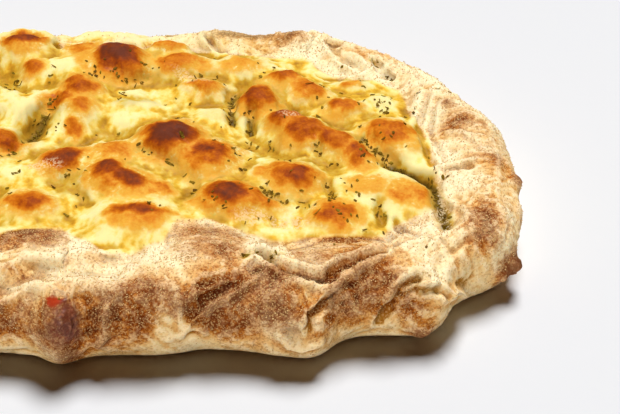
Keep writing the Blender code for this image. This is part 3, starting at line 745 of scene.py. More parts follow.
    def normals(self) -> Array:
        """Returns the unit normal of each vertex."""
        a, b, c = (self.co[self.triangles[:, k]] for k in range(3))
        normal = np.cross(b - a, c - a)
        total = np.zeros_like(self.co)
        for axis in range(3):
            for corner in range(3):
                total[:, axis] += np.bincount(
                    self.triangles[:, corner], normal[:, axis], minlength=len(self.co)
                )
        return total / np.maximum(np.linalg.norm(total, axis=1, keepdims=True), 1e-9)

    def push(self, amount: Array) -> None:
        """Moves the vertices along their normals, and leaves the base flat."""
        span = self.relief_from - self.flat_below
        share = np.clip((self.co[:, 2] - self.flat_below) / span, 0.0, 1.0)
        self.co += self.normals() * (amount * share)[:, None]

    def distance_along(self, angle: float) -> Array:
        """Returns how far each vertex is along the outline from a place given by its angle."""
        return self.plan.shortest(self.place * self.plan.step - self.plan.along_of(angle))

    def torn_plan(self) -> Array:
        """Returns the vertices in plan, moved about as unevenly as dough tears."""
        return warp(self.co[:, :2], 9.0, 1.6, 6.0)

    def smoothed(self, rounds: int) -> Array:
        """Smooths a copy of the vertices, each to the middle of its neighbours.

        Args:
            rounds: how often.

        Returns:
            The moved vertices.
        """
        edges = np.vstack((self.triangles[:, :2], self.triangles[:, 1:], self.triangles[:, ::2]))
        start, end = edges[:, 0], edges[:, 1]
        count = len(self.co)
        degree = np.bincount(start, minlength=count) + np.bincount(end, minlength=count)
        co = self.co.copy()
        for _ in range(rounds):
            for axis in range(3):
                total = np.bincount(start, co[end, axis], minlength=count)
                total += np.bincount(end, co[start, axis], minlength=count)
                co[:, axis] = total / degree
        return co


@dataclass
class Relief:
    """The lumps, folds and creases of the skin."""

    lump_depth: float = 1.5
    lump_length: float = 30.0
    wrinkle_depth: float = 0.5
    wrinkle_length: float = 10.0
    crinkle_depth: float = 0.3
    crinkle_length: float = 5.0
    stretch_depth: float = 0.5
    stretch_along: float = 16.0
    stretch_up: float = 3.2
    knead_depth: float = 0.65
    knead_length: float = 12.0
    streak_depth: float = 0.55
    streak_across: float = 2.8
    streak_down: float = 12.0
    fold_scale: float = 1.6
    fold_narrow: float = 0.85
    net_depth: float = 1.1
    net_along: float = 26.0
    net_across: float = 9.0
    net_lean: float = math.radians(28.0)
    net_line: float = 0.26
    fine_net_depth: float = 0.5
    fine_net_scale: float = 0.45
    crease_lip: float = 0.4
    lip_offset: float = 1.6
    rule_seed: int = 21
    rule_span: Pair = (52.0, 243.0)
    rule_folds: int = 26
    rule_fold_sizes: tuple[Pair, ...] = ((1.2, 3.2), (2.2, 3.6), (0.4, 2.0))
    rule_bumps: int = 14
    folds: tuple[Fold, ...] = made_of(
        Fold,
        (((-112.5, 27), (-109.2, 34), (-106.4, 41), (-93.2, 41), (-88, 38)), 3, 6),
        (((-112.5, 18), (-107.8, 28), (-95.8, 34), (-93, 28), (-88, 27)), -1.6, 3.5),
        (((-114, 36), (-109.2, 44), (-97, 52), (-88, 52)), -2, 5),
        (((-86, 24), (-88.9, 18), (-90, 6), (-91, 0)), -1.9, 3),
        (((-71.2, 9), (-67.7, 14), (-65.2, 18.5), (-61.8, 24), (-59.4, 30)), -1.2, 2.8),
        (((-70, 20), (-66.5, 24.5), (-63, 28.5), (-60.8, 33)), -0.9, 2.6),
        (((-76, 2), (-72, 6), (-68, 5)), -1.2, 3),
        (((-51.8, 8.5), (-50.9, 15.6), (-47.6, 18.5), (-45.3, 19)), 3, 2.4, 1.2),
        (((-55.5, 5), (-54.4, 0), (-52.8, -1), (-49.8, 1.5)), -2.5, 2.5),
        (((-39.4, 0.8), (-38.4, 8.8), (-37.8, 15), (-36.9, 20.5), (-35.3, 23.2)), 3, 2.4, 1.5),
        (((-37.2, 15), (-35.7, 18), (-32.6, 16.1), (-31.3, 9.7)), 2.5, 2, 1.2),
        (((-32.6, 10.8), (-28.9, 6.3), (-26.6, 0)), -3, 3),
        (((-46, 24), (-44, 23), (-41.5, 27), (-39.5, 31)), -1.4, 2.6),
        (((-5.6, 50), (-4.8, 42), (-4.2, 37)), 0.4, 2.4, 0.5),
        (((-3.5, 22), (-10, 20), (-14, 14)), 0.5, 4, 0.5), (((29.8, 40.4), (35, 33)), 1.8, 2.5, 1),
        (((38.1, 43), (40.8, 38), (43.3, 29.4)), 1.6, 2.5, 1),
    )
    bumps: tuple[Bump, ...] = made_of(
        Bump,
        (-98.3, 16, 10, 16, 4.5), (-112, 62, 16, 10, 3), (-80, 24, 14, 9, 2.5),
        (-58.3, 47.3, 4, 4.5, -3), (-56.5, 34, 5, 2.5, -2), (-53.6, 6.5, 7, 3.5, -3.2),
        (-35.5, -6, 6, 6, 3), (-18.2, -1, 5, 5, 4), (-17, -2, 2.2, 2.4, 3.2),
        (-18.6, 2.5, 2.2, 2.2, 3), (-20.2, -3.5, 2.4, 2, 2.6), (-5, 16, 4, 5, 3.6),
        (-35, -4, 3, 2.6, 2), (-10.5, 9, 8, 10, 1.8), (13, 34, 18, 12, 2), (-90.6, 61, 5.5, 5, 2.2),
    )
    dents: tuple[Crevice, ...] = made_of(
        Crevice,
        (((-76, 52), (-70, 46), (-66, 36)), 1.3, 4), (((-64, 56), (-57, 50), (-54, 42)), 1.1, 3.2),
        (((-74, 30), (-66, 24)), 1, 3.6), (((-8, 44), (2, 40), (10, 43)), 1.2, 3.4),
        (((-4, 33), (6, 31), (16, 34)), 1, 3), (((36, 46), (42, 40)), 0.9, 3),
    )
    rough_spots: tuple[Bump, ...] = made_of(
        Bump,
        (-18.4, -1, 6.5, 6.5, 1.1), (-35.3, -4, 6, 5, 0.7), (-97.4, 15, 8, 11, 0.4),
        (-4.8, 17, 4, 4, 0.6),
    )
    rough_length: float = 2.6
    swirl: Bump = Bump(-97.6, 13.0, 5.5, 6.5, 0.8)
    swirl_step: float = 3.0

    def lumps(self, skin: Skin) -> Array:
        """Returns the uneven swelling of the skin, coarse and fine."""
        on_rim = np.clip((skin.plan.width[skin.place] - skin.up) / 12.0 + 1.0, 0.0, 1.0)
        lumps = self.lump_depth * swell(skin.co, self.lump_length)
        return lumps * on_rim + self.wrinkle_depth * swell(skin.co, self.wrinkle_length)

    def crinkles(self, skin: Skin) -> Array:
        """Returns the fine relief that only the looks have: crinkles, and stretch marks of the rim."""
        fine = self.crinkle_depth * fractal(skin.co, self.crinkle_length, 3)
        crumb = (1.0 - skin.rim) * (skin.up > 0.0)
        fine += self.knead_depth * fractal(skin.co, self.knead_length, 3) * crumb
        fine += self.streak_depth * self.streaks(skin) * crumb
        along = skin.place * skin.plan.step
        lean = 0.5 * skin.up
        across = along / self.stretch_up + lean / self.stretch_along
        marks = pattern(across, skin.up / self.stretch_along, 0.0)
        return fine + self.stretch_depth * marks * skin.rim * np.clip(skin.up / 8.0, 0.0, 1.0)

    def blisters(self, skin: Skin) -> Array:
        """Returns the broken surface of the scorched knobs and the swirl of the burst blister."""
        grain = fractal(skin.co, self.rough_length, 2)
        rough = sum(self.bump_relief(skin, spot) for spot in self.rough_spots) * grain
        along = skin.distance_along(self.swirl.angle)
        radius = np.hypot(along, skin.up - self.swirl.up) + 0.9 * grain
        waves = np.cos(2.0 * math.pi * radius / self.swirl_step)
        return rough + self.bump_relief(skin, self.swirl) * waves

    def streaks(self, skin: Skin) -> Array:
        """Returns the fine strands of stretched dough that run down the front and back of domes."""
        moved = warp(skin.co[:, :2], 10.0, 4.0, 5.0)
        strands = pattern(moved[:, 0] / self.streak_across, moved[:, 1] / self.streak_down, 2.0)
        return strands * np.clip(np.abs(skin.normals()[:, 1]) * 2.5, 0.15, 1.0)

    def rule_fold_list(self) -> list[Fold]:
        """Draws creases for the stretch of rim that the named ones leave plain."""
        draw = random.Random(self.rule_seed)
        folds = []
        for k in range(self.rule_folds):
            angle = angle_in_turn(draw, self.rule_span, k, self.rule_folds)
            up = draw.uniform(0.0, 36.0)
            stride = draw.choice((-1.0, 1.0)) * draw.uniform(2.0, 4.0)
            climb = draw.uniform(-5.0, 5.0)
            bend = draw.uniform(-3.0, 3.0)
            path = tuple((angle + stride * s, up + climb * s + bend * s * s) for s in (-1.0, 0.0, 1.0))
            sizes = [draw.uniform(*span) for span in self.rule_fold_sizes]
            folds.append(Fold(path, *sizes))
        return folds

    def rule_bump_list(self) -> list[Bump]:
        """Draws swellings and hollows for the stretch of rim that the named ones leave plain."""
        draw = random.Random(self.rule_seed)
        bumps = []
        for k in range(self.rule_bumps):
            angle = angle_in_turn(draw, self.rule_span, k, self.rule_bumps)
            half = draw.uniform(7.0, 16.0)
            reach = draw.choice((-1.0, 1.0, 1.0)) * draw.uniform(1.2, 3.6)
            bumps.append(Bump(angle, draw.uniform(0.0, 34.0), half, half * draw.uniform(0.6, 1.0), reach))
        return bumps

    def fold_relief(self, skin: Skin, fold: Fold) -> Array:
        """Works out the relief of a crease with a raised lip on its left.

        Args:
            skin: the mesh that the crease is pressed into.
            fold: the crease.

        Returns:
            How far each vertex moves along its normal.
        """
        nearest = np.full(len(skin.co), 1e6)
        above = np.zeros(len(skin.co))
        for (angle_a, up_a), (angle_b, up_b) in zip(fold.path, fold.path[1:]):
            between = skin.plan.along_of(angle_b) - skin.plan.along_of(angle_a)
            run = np.array([float(skin.plan.shortest(np.array(between))), up_b - up_a])
            offset = np.column_stack((skin.distance_along(angle_a), skin.up - up_a))
            share = np.clip(offset @ run / (run @ run), 0.0, 1.0)
            away = offset - share[:, None] * run
            distance = np.hypot(away[:, 0], away[:, 1])
            side = run[0] * offset[:, 1] - run[1] * offset[:, 0]
            closer = distance < nearest
            nearest = np.where(closer, distance, nearest)
            above = np.where(closer, np.sign(side) * distance, above)
        width = fold.width * self.fold_narrow
        groove = -fold.depth * np.exp(-((nearest / width) ** 2))
        ridge = fold.lip * np.exp(-((above / width - self.lip_offset) ** 2))
        edge = np.exp(-((nearest / (2.0 * self.lip_offset * width)) ** 2))
        return self.fold_scale * (groove + ridge * edge)

    def bump_relief(self, skin: Skin, bump: Bump) -> Array:
        """Returns how far a round swelling of the rim moves each vertex."""
        along = skin.distance_along(bump.angle) / bump.half_along
        up = (skin.up - bump.up) / bump.half_up
        return bump.reach * np.exp(-(along**2 + up**2))

    def crevice_relief(self, skin: Skin) -> Array:
        """Returns how far the crevices of the crumb move each vertex."""
        moved = skin.torn_plan()
        total = np.zeros(len(skin.co))
        for crevice in CREVICES + self.dents:
            total -= crevice.depth * np.exp(-((crevice.distance(moved) / crevice.width) ** 2))
        for crease in RIM_CREASES:
            away = crease.distance(moved) / crease.width
            lips = self.crease_lip * np.exp(-((away - 1.9) ** 2) / 0.6)
            total += crease.depth * (lips - np.exp(-(away**2)))
        return total * (skin.up > 0.0)

    def net(self, skin: Skin, depth: float, scale: float, lean: float, seed: float) -> Array:
        """Works out a net of leaning creases, each with a lip, that covers the rim.

        Args:
            skin: the mesh that the creases are pressed into.
            depth: how deep they are.
            scale: their size as a share of the coarse net's.
            lean: the angle between them and the rim, in radians.
            seed: a place in the noise.

        Returns:
            How far each vertex moves along its normal.
        """
        flat = np.column_stack((skin.place * skin.plan.step, skin.up))
        moved = warp(flat, 18.0 * scale, 6.0 * scale, 12.0 + seed)
        across = moved[:, 1] * math.cos(lean) - moved[:, 0] * math.sin(lean)
        along = moved[:, 0] * math.cos(lean) + moved[:, 1] * math.sin(lean)
        along = along / (self.net_along * scale)
        across = across / (self.net_across * scale)
        line = pattern(along, across, 9.0 + seed) / self.net_line
        patchy = pattern(0.6 * along, 0.25 * across, 4.0 + seed)
        strength = np.clip(0.45 + 1.6 * patchy, 0.0, 1.0) * skin.rim
        return depth * strength * (0.7 * np.exp(-((line - 1.7) ** 2)) - np.exp(-(line**2)))

    def apply(self, skin: Skin) -> None:
        """Presses all of it into the skin, the coarse forms first."""
        bumps = list(self.bumps) + self.rule_bump_list()
        skin.push(sum((self.bump_relief(skin, bump) for bump in bumps), self.lumps(skin)))
        folds = list(self.folds) + self.rule_fold_list()
        skin.push(sum(self.fold_relief(skin, fold) for fold in folds))
        coarse = self.net(skin, self.net_depth, 1.0, self.net_lean, 0.0)
        fine = self.net(skin, self.fine_net_depth, self.fine_net_scale, -1.5 * self.net_lean, 30.0)
        skin.push(coarse + fine + self.crevice_relief(skin))
        skin.push(self.crinkles(skin) + self.blisters(skin))


@dataclass
class Baking:
    """What the oven, the flour and the oil did to the skin, and where shade is painted, as values from 0
    to about 1.
    """

    hollow_rounds: int = 26
    hollow_depth: float = 1.1
    cap_edge: Pair = (0.32, 0.98)
    glow: float = 0.28
    glow_edge: Pair = (0.8, 1.35)
    cap_lean: float = 0.2
    edge_length: float = 7.0
    edge_reach: float = 2.6
    drift_length: float = 14.0
    drift_reach: float = 7.0
    pool_length: float = 14.0
    flour_length: float = 22.0
    crease_rounds: int = 3
    crease_depth: float = 0.22
    rule_seed: int = 44
    rule_patches: int = 26
    rule_span: Pair = (118.0, 246.0)
    base_brown: float = 0.5
    burst: RimPatch = RimPatch(-97.2, 15.0, 9.0, 12.5, 1.0)
    scald: RimPatch = RimPatch(-99.6, 25.0, 5.5, 4.0, 1.0)
    bare: RimPatch = RimPatch(99.0, 34.0, 54.0, 22.0, 0.95)
    painted_crease_shade: float = 0.16
    charred: tuple[RimPatch, ...] = made_of(
        RimPatch,
        (-18.4, -1, 9, 9, 1.6), (-4.8, 17, 4.5, 4.5, 1.2), (-35.3, -6, 6, 5, 1.2),
        (-97.5, -3, 9, 13, 1.1), (56, 30, 12, 6.5, 1.1),
    )
    floured: tuple[RimPatch, ...] = made_of(
        RimPatch,
        (-80, 47, 26, 10, 0.95), (-100, 48, 18, 6, 0.8), (-109, 28, 8, 4.5, 0.8),
        (-101, 36, 12, 4, 0.9), (-93, 33, 9, 4, 0.8), (-85, 30, 8, 3.5, 0.7),
        (-89.4, 13, 2.6, 11, 0.6), (-59.5, 53, 12, 7, 1.1), (-49, 52, 12, 6, 0.8),
        (-33, 45, 12, 6, 0.8), (-26, 35, 10, 10, 0.7), (-10, 52, 16, 6, 0.8),
    )
    rim_patches: tuple[RimPatch, ...] = made_of(
        RimPatch,
        (-110, 12, 14, 9, 0.85), (-67.1, 63, 9, 6, 0.85), (-44, 68, 10, 6, 0.6),
        (-65, 20, 34, 14, 0.28), (-42, 28, 22, 16, 0.25), (-94, 14, 18, 14, 0.2),
        (-27.1, 50, 7, 5, 0.5), (-59.6, 34, 8, 6, 0.4), (-113, 65, 14, 10, 1.5),
        (-110, 37, 10, 4, 0.35), (-98.5, 10, 12, 15, 0.8), (30, 4, 12, 7, 0.4), (47, 6, 14, 8, 0.6),
        (62, 11, 12, 8, 0.6), (72, 4, 16, 8, 0.75), (80, 15, 10, 6, 0.5), (89, 7, 15, 9, 0.8),
        (98, 14, 11, 7, 0.6), (107, 6, 14, 9, 0.8), (114, 14, 9, 7, 0.5), (-93, 14, 5, 9, -0.35),
        (-101.5, 12, 4, 14, 0.5), (-73.5, 4, 9, 9, -0.7), (-76.5, 14, 5, 8, -0.3),
        (-16, 32, 20, 11, 0.3), (4, 32, 28, 11, 0.25), (-92.7, 11, 9, 14, 0.4),
        (-85, 12, 12, 18, 0.85), (-80.4, 28, 8, 5, 0.85), (-92.7, 47, 7, 3, 0.4),
        (-72, 17, 16, 10, 0.7), (-65.8, 47, 9, 8, 0.85), (-63.5, 17, 12, 13, 0.65),
        (-58.6, 12, 13, 13, 0.55), (-55.2, 20, 12, 10, 0.55), (-56.8, 35, 7, 4, 0.85),
        (-44.1, 44, 16, 8, 0.45), (-43.6, 12, 14, 12, 0.65), (-58.6, 78, 12, 6, 0.7),
        (-39, 56, 12, 5, 0.8), (-39.3, 21, 12, 9, 0.8), (-36.2, 8, 8, 7, 0.75), (-21, 26, 10, 9, 0.65),
        (-11.6, 8, 4, 8, 0.5), (14.7, 36, 4, 3, 0.85), (10.1, 40, 6, 6, 0.85), (8.4, 46, 16, 10, 0.35),
        (-3.1, 29, 8, 8, 0.6), (-15.8, 32, 10, 8, 0.7), (64, 24, 22, 7, 0.95), (35, 26, 12, 7, 0.35),
    )
    scorches: tuple[Patch, ...] = made_of(
        Patch,
        (41, -7, 9, 8, 0, 1.05), (135, 14, 15, 10, 0, 0.62), (12.5, -53.5, 17, 6, 0, 0.95),
        (-63, 91, 15, 7, 0, 0.95),
    )
    flour_patches: tuple[Patch, ...] = made_of(
        Patch,
        (84, 23, 8, 5, 0, 0.5), (-38, -17, 12, 5, 0, 0.5), (31, 59, 15, 4.5, -35, 0.5),
        (66, -53, 12, 5, 0, 0.5), (84, -56, 12, 5, 0, 0.6),
    )
    oil_and_shade_patches: tuple[Patch, ...] = made_of(
        Patch,
        (-49, 16, 9, 12, 15, 0.6), (26, -13, 10, 6, -20, 0.5), (2, 39, 14, 5, 5, 0.5),
        (-70, 26, 8, 10, 0, 0.35), (150, -20, 8, 5, -20, 0.8), (157, -38, 5, 14, 0, 0.8),
        (14, 67, 7, 6, 0, 0.7), (-5, 87, 9, 5, 0, 0.6),
    )

    def rule_patch_list(self) -> list[RimPatch]:
        """Draws browned patches for the stretch of rim that the named ones leave plain."""
        draw = random.Random(self.rule_seed)
        found = []
        for k in range(self.rule_patches):
            angle = angle_in_turn(draw, self.rule_span, k, self.rule_patches)
            half = draw.uniform(6.0, 17.0)
            up = draw.uniform(0.0, 42.0)
            found.append(RimPatch(angle, up, half, half * draw.uniform(0.5, 0.9), draw.uniform(0.3, 1.0)))
        return found

    def patches(self, skin: Skin, rows: tuple[Patch, ...]) -> Array:
        """Returns the strongest of some patches of the crumb at each vertex."""
        strongest = np.zeros(len(skin.co))
        moved = warp(skin.co[:, :2], self.edge_length, self.edge_reach, 8.0)
        for row in rows:
            radius = oval_radius(moved, row)
            strongest = np.maximum(strongest, row.strength * (1.0 - ease(radius, 0.3, 1.3)))
        return strongest * (skin.up > 0.0)

    def crevices(self, skin: Skin) -> Array:
        """Returns where the crevices hold oil, herb dust and painted shade."""
        moved = skin.torn_plan()
        strongest = np.zeros(len(skin.co))
        for row in CREVICES:
            strongest = np.maximum(strongest, row.oil_and_shade * np.exp(-((row.distance(moved) / row.width) ** 2)))
        return strongest * (skin.up > 0.0)

    def rim_patch(self, skin: Skin, row: RimPatch) -> Array:
        """Returns one patch of the rim at each vertex."""
        drift = self.drift * np.clip((row.half_along - 6.0) / 8.0, 0.0, 1.0)
        along = (skin.distance_along(row.angle) + drift[:, 0]) / row.half_along
        up = (skin.up - row.up + drift[:, 1]) / row.half_up
        return row.strength * np.exp(-0.8 * (along**2 + up**2))

    def toast(self, skin: Skin) -> Array:
        """Works out how dark the blisters are baked.

        Args:
            skin: the finished skin.

        Returns:
            One value for each vertex.
        """
        form = skin.form
        toast = self.patches(skin, self.scorches)
        domes = warp(skin.co[:, :2], form.warp_length, form.warp_reach, 3.0)
        moved = warp(domes, self.edge_length, self.edge_reach, 8.0)
        for blister in form.blisters:
            back = np.maximum(moved[:, 1] - blister.y, 0.0)
            lean = np.column_stack((moved[:, 0], moved[:, 1] + self.cap_lean * back))
            radius = oval_radius(lean, blister)
            toast = np.maximum(toast, blister.toast * (1.0 - ease(radius, *self.cap_edge)))
            glow = self.glow * min(blister.toast, 1.0) * (1.0 - ease(radius, *self.glow_edge))
            toast = np.maximum(toast, glow)
        return toast * (1.0 - skin.rim) * (skin.up > 0.0)

    def hollow(self, skin: Skin, normals: Array, rounds: int, depth: float) -> Array:
        """Returns how hollow the skin is: positive in valleys, negative on crests.

        Args:
            skin: the finished skin.
            normals: its normals.
            rounds: how often it is smoothed, which sets the size of the valleys.
            depth: the depth that counts as 1, in millimetres.

        Returns:
            One value for each vertex, from -1 to 1.
        """
        lift = ((skin.smoothed(rounds) - skin.co) * normals).sum(axis=1)
        return np.clip(lift / depth, -1.0, 1.0)

    def apply(self, skin: Skin) -> dict[Mask, Array]:
        """Works out all the masks.

        Args:
            skin: the finished skin.

        Returns:
            One value for each vertex, for each mask.
        """
        normals = skin.normals()
        flat = np.column_stack((skin.place * skin.plan.step, skin.up))
        self.drift = warp(flat, self.drift_length, self.drift_reach, 1.0) - flat
        hollow = self.hollow(skin, normals, self.hollow_rounds, self.hollow_depth)
        rows = list(self.rim_patches) + self.rule_patch_list()
        brown_and_shade = sum((self.rim_patch(skin, row) for row in rows), np.zeros(len(skin.co)))
        pools = fractal(skin.co, self.pool_length, 2)
        floury = fractal(skin.co, self.flour_length, 3)
        gaps = self.crevices(skin)
        bare = self.rim_patch(skin, self.bare)
        # oil stain and painted shade: the valleys take the olive colour
        oil_and_shade = 0.6 * ease(hollow + 0.5 * pools, 0.2, 1.0)
        oil_and_shade = np.maximum(oil_and_shade, self.patches(skin, self.oil_and_shade_patches)) * (1.0 - skin.rim)
        inner = ease(skin.up / skin.plan.width[skin.place], 0.55, 1.0)
        flour = ease(floury, -0.1, 0.7) + 0.7 * inner * ease(floury, -0.7, 0.2)
        flour = np.clip(flour, 0.0, 1.0) * skin.rim
        moved = skin.torn_plan()
        # painted shade: the rim's creases are darkened through the brown mask
        for row in RIM_CREASES:
            near = np.exp(-((row.distance(moved) / (0.85 * row.width)) ** 2))
            brown_and_shade += self.painted_crease_shade * row.depth * near * (skin.up > 0.0)
        below = ease(-skin.co[:, 2], -3.0, 0.0)
        brown_and_shade += self.base_brown * below * (1.0 + floury)
        for row in self.floured:
            flour = np.maximum(flour, self.rim_patch(skin, row) * skin.rim)
        brown_and_shade = np.clip(brown_and_shade, 0.0, 1.0)
        for row in self.charred:
            brown_and_shade = np.maximum(brown_and_shade, np.clip(self.rim_patch(skin, row), 0.0, 1.25))
        brown_and_shade *= skin.rim
        flour = np.clip(flour, 0.0, 1.0) * (1.0 - 0.85 * np.clip(brown_and_shade, 0.0, 1.0))
        return {
            Mask.TOAST: self.toast(skin),
            Mask.RIM: skin.rim * (1.0 - bare) * (1.0 - ease(gaps, 0.25, 0.7)),
            Mask.BROWN_AND_SHADE: brown_and_shade,
            Mask.FLOUR: np.maximum(flour, self.patches(skin, self.flour_patches)),
            Mask.OIL_AND_SHADE: np.maximum(oil_and_shade, gaps),
            Mask.HOLLOW: hollow,
            Mask.CREASE: self.hollow(skin, normals, self.crease_rounds, self.crease_depth),
            Mask.BURST: self.rim_patch(skin, self.burst),
            Mask.SCALD: self.rim_patch(skin, self.scald),
        }


@dataclass(frozen=True)
class Signal:
    """An output of a shader node, on which sums and products are worked out by more nodes."""

    wiring: Wiring
    socket: bpy.types.NodeSocket

    def __add__(self, other: Input) -> Signal:
        """Adds a number or another output."""
        return self.wiring.math("ADD", self, other)

    def __sub__(self, other: Input) -> Signal:
        """Takes a number or another output away."""
        return self.wiring.math("SUBTRACT", self, other)

    def __rsub__(self, other: float) -> Signal:
        """Takes this output away from a number."""
        return self.wiring.math("SUBTRACT", other, self)

    def __mul__(self, other: Input) -> Signal:
        """Multiplies by a number or another output."""
        return self.wiring.math("MULTIPLY", self, other)

    def __truediv__(self, other: Input) -> Signal:
        """Divides by a number or another output."""
        return self.wiring.math("DIVIDE", self, other)


class Wiring:
    """Adds nodes to a tree and links them, so that a finish reads as a list of steps."""

    def __init__(self, tree: bpy.types.NodeTree) -> None:
        """Keeps the tree that the nodes go into."""
        self.tree = tree

    def put(self, node: bpy.types.Node, inputs: dict[str | int, Input]) -> None:
        """Fills a node's inputs.

        Args:
            node: the node.
            inputs: an output to link or a value to set, for the name or number of each input.
        """
        for name, value in inputs.items():
            socket = node.inputs[name]
            if isinstance(value, Signal):
                self.tree.links.new(value.socket, socket)
            elif isinstance(value, tuple) and len(value) == 3 and socket.type == "RGBA":
                socket.default_value = (*value, 1.0)
            else:
                socket.default_value = value

    def node(self, kind: str, inputs: dict[str | int, Input], **options: object) -> bpy.types.Node:
        """Adds a node.

        Args:
            kind: its type.
            inputs: what its inputs are filled with.
            options: its own settings.

        Returns:
            The node.
        """
        made = self.tree.nodes.new(kind)
        for name, value in options.items():
            setattr(made, name, value)
        self.put(made, inputs)
        return made

    def add(
        self, kind: str, inputs: dict[str | int, Input], output: str | int = 0, **options: object
    ) -> Signal:
        """Adds a node and returns one of its outputs, given by its name or number."""
        return Signal(self, self.node(kind, inputs, **options).outputs[output])

    def math(self, operation: str, a: Input, b: Input, clamp: bool = False) -> Signal:
        """Adds a sum, product or other step of arithmetic."""
        return self.add("ShaderNodeMath", {0: a, 1: b}, operation=operation, use_clamp=clamp)

    def ease(self, value: Signal, low: float, high: float) -> Signal:
        """Adds a smooth change from 0 at low to 1 at high."""
        inputs = {"Value": value, "From Min": low, "From Max": high}
        return self.add("ShaderNodeMapRange", inputs, "Result", interpolation_type="SMOOTHSTEP")

    def mix(self, share: Input, a: Input, b: Input, blend: str = "MIX") -> Signal:
        """Adds a mix of two colours."""
        return self.add("ShaderNodeMix", {0: share, 6: a, 7: b}, 2, data_type="RGBA", blend_type=blend)

    def value(self, name: str) -> Signal:
        """Reads a named value of the mesh."""
        return self.add("ShaderNodeAttribute", {}, "Fac", attribute_name=name)

    def masks(self, *names: Mask) -> list[Signal]:
        """Reads some of the bread's masks."""
        return [self.value(name.value) for name in names]

    def ramp(self, value: Signal, stops: ColourRow) -> Signal:
        """Adds a row of colours that a value runs along.

        Args:
            value: the place along the row.
            stops: the place and the colour of each stop.

        Returns:
            The colour.
        """
        made = self.node("ShaderNodeValToRGB", {"Fac": value})
        row = made.color_ramp.elements
        while len(row) < len(stops):
            row.new(1.0)
        for element, (place, colour) in zip(row, stops):
            element.position = place
            element.color = (*colour, 1.0)
        return Signal(self, made.outputs["Color"])

    def place(self) -> Signal:
        """Reads the place on the object, in metres."""
        return self.add("ShaderNodeTexCoord", {}, "Object")

    def noise(self, per_metre: Input, detail: float) -> Signal:
        """Adds noise, about 0, with a number of coarse swells in each metre."""
        inputs = {"Vector": self.place(), "Scale": per_metre, "Detail": detail}
        return self.add("ShaderNodeTexNoise", inputs, "Fac") - 0.5

    def group(self, tree: bpy.types.NodeTree, output: str, **inputs: Input) -> Signal:
        """Places a group of nodes; its inputs are named with underscores for spaces."""
        named = {name.replace("_", " "): value for name, value in inputs.items()}
        return self.add("ShaderNodeGroup", named, output, node_tree=tree)


class GroupMaker:
    """The effects that more than one material uses, each a group of shader nodes."""

    def __init__(self) -> None:
        """Builds the groups once."""
        self.specks = self.make_specks()
        self.mottle = self.make_mottle()

    def start(self, name: str, inputs: dict[str, float]) -> tuple[Wiring, dict[str, Signal]]:
        """Makes an empty group with named inputs.

        Args:
            name: the group's name.
            inputs: the names of the inputs and their usual values.

        Returns:
            The wiring of its tree, and its inputs by name.
        """
        tree = bpy.data.node_groups.new(name, "ShaderNodeTree")
        for title, value in inputs.items():
            socket = tree.interface.new_socket(title, in_out="INPUT", socket_type="NodeSocketFloat")
            socket.default_value = value
        wiring = Wiring(tree)
        entry = wiring.node("NodeGroupInput", {})
        return wiring, {socket.name: Signal(wiring, socket) for socket in entry.outputs}

    def end(self, wiring: Wiring, outputs: dict[str, Signal]) -> bpy.types.NodeTree:
        """Gives a group its named outputs.

        Args:
            wiring: the wiring of the group's tree.
            outputs: what each output puts out, by name.

        Returns:
            The finished tree.
        """
        for title in outputs:
            wiring.tree.interface.new_socket(title, in_out="OUTPUT", socket_type="NodeSocketFloat")
        wiring.node("NodeGroupOutput", outputs)
        return wiring.tree

    def make_specks(self) -> bpy.types.NodeTree:
        """Makes grains that cover a given share of the surface, as semolina covers dough."""
        inputs = {"Grains per metre": 1100.0, "Share": 0.5, "Softness": 0.12}
        wiring, source = self.start("specks", inputs)
        setting = {"Vector": wiring.place(), "Scale": source["Grains per metre"]}
        cells = wiring.node("ShaderNodeTexVoronoi", setting, feature="F1")
        chance = wiring.add("ShaderNodeSeparateColor", {0: Signal(wiring, cells.outputs["Color"])})
        soft = (source["Share"] - chance) / source["Softness"]
        mask = wiring.math("ADD", soft * 0.5, 0.5, clamp=True)
        dome = wiring.math("SUBTRACT", 1.0, Signal(wiring, cells.outputs["Distance"]), clamp=True)
        return self.end(wiring, {"Mask": mask, "Height": dome * chance})

    def make_mottle(self) -> bpy.types.NodeTree:
        """Makes uneven light and dark, with coarse swells and fine ones, about 0."""
        inputs = {"Coarse per metre": 110.0, "Fine per metre": 450.0, "Fine share": 0.4}
        wiring, source = self.start("mottle", inputs)
        coarse = wiring.noise(source["Coarse per metre"], 3.0)
        fine = wiring.noise(source["Fine per metre"], 3.0)
        return self.end(wiring, {"Value": coarse + fine * source["Fine share"]})


class NewMaterial:
    """A new material with the wiring of its tree and its shader."""

    def __init__(self, name: str, specular: float) -> None:
        """Makes the material with the strength of its highlights."""
        self.material = bpy.data.materials.new(name)
        self.material.use_nodes = True
        self.wiring = Wiring(self.material.node_tree)
        self.shader = self.material.node_tree.nodes["Principled BSDF"]
        self.put({"Specular IOR Level": specular})

    def put(self, inputs: dict[str | int, Input]) -> None:
        """Fills inputs of the shader."""
        self.wiring.put(self.shader, inputs)


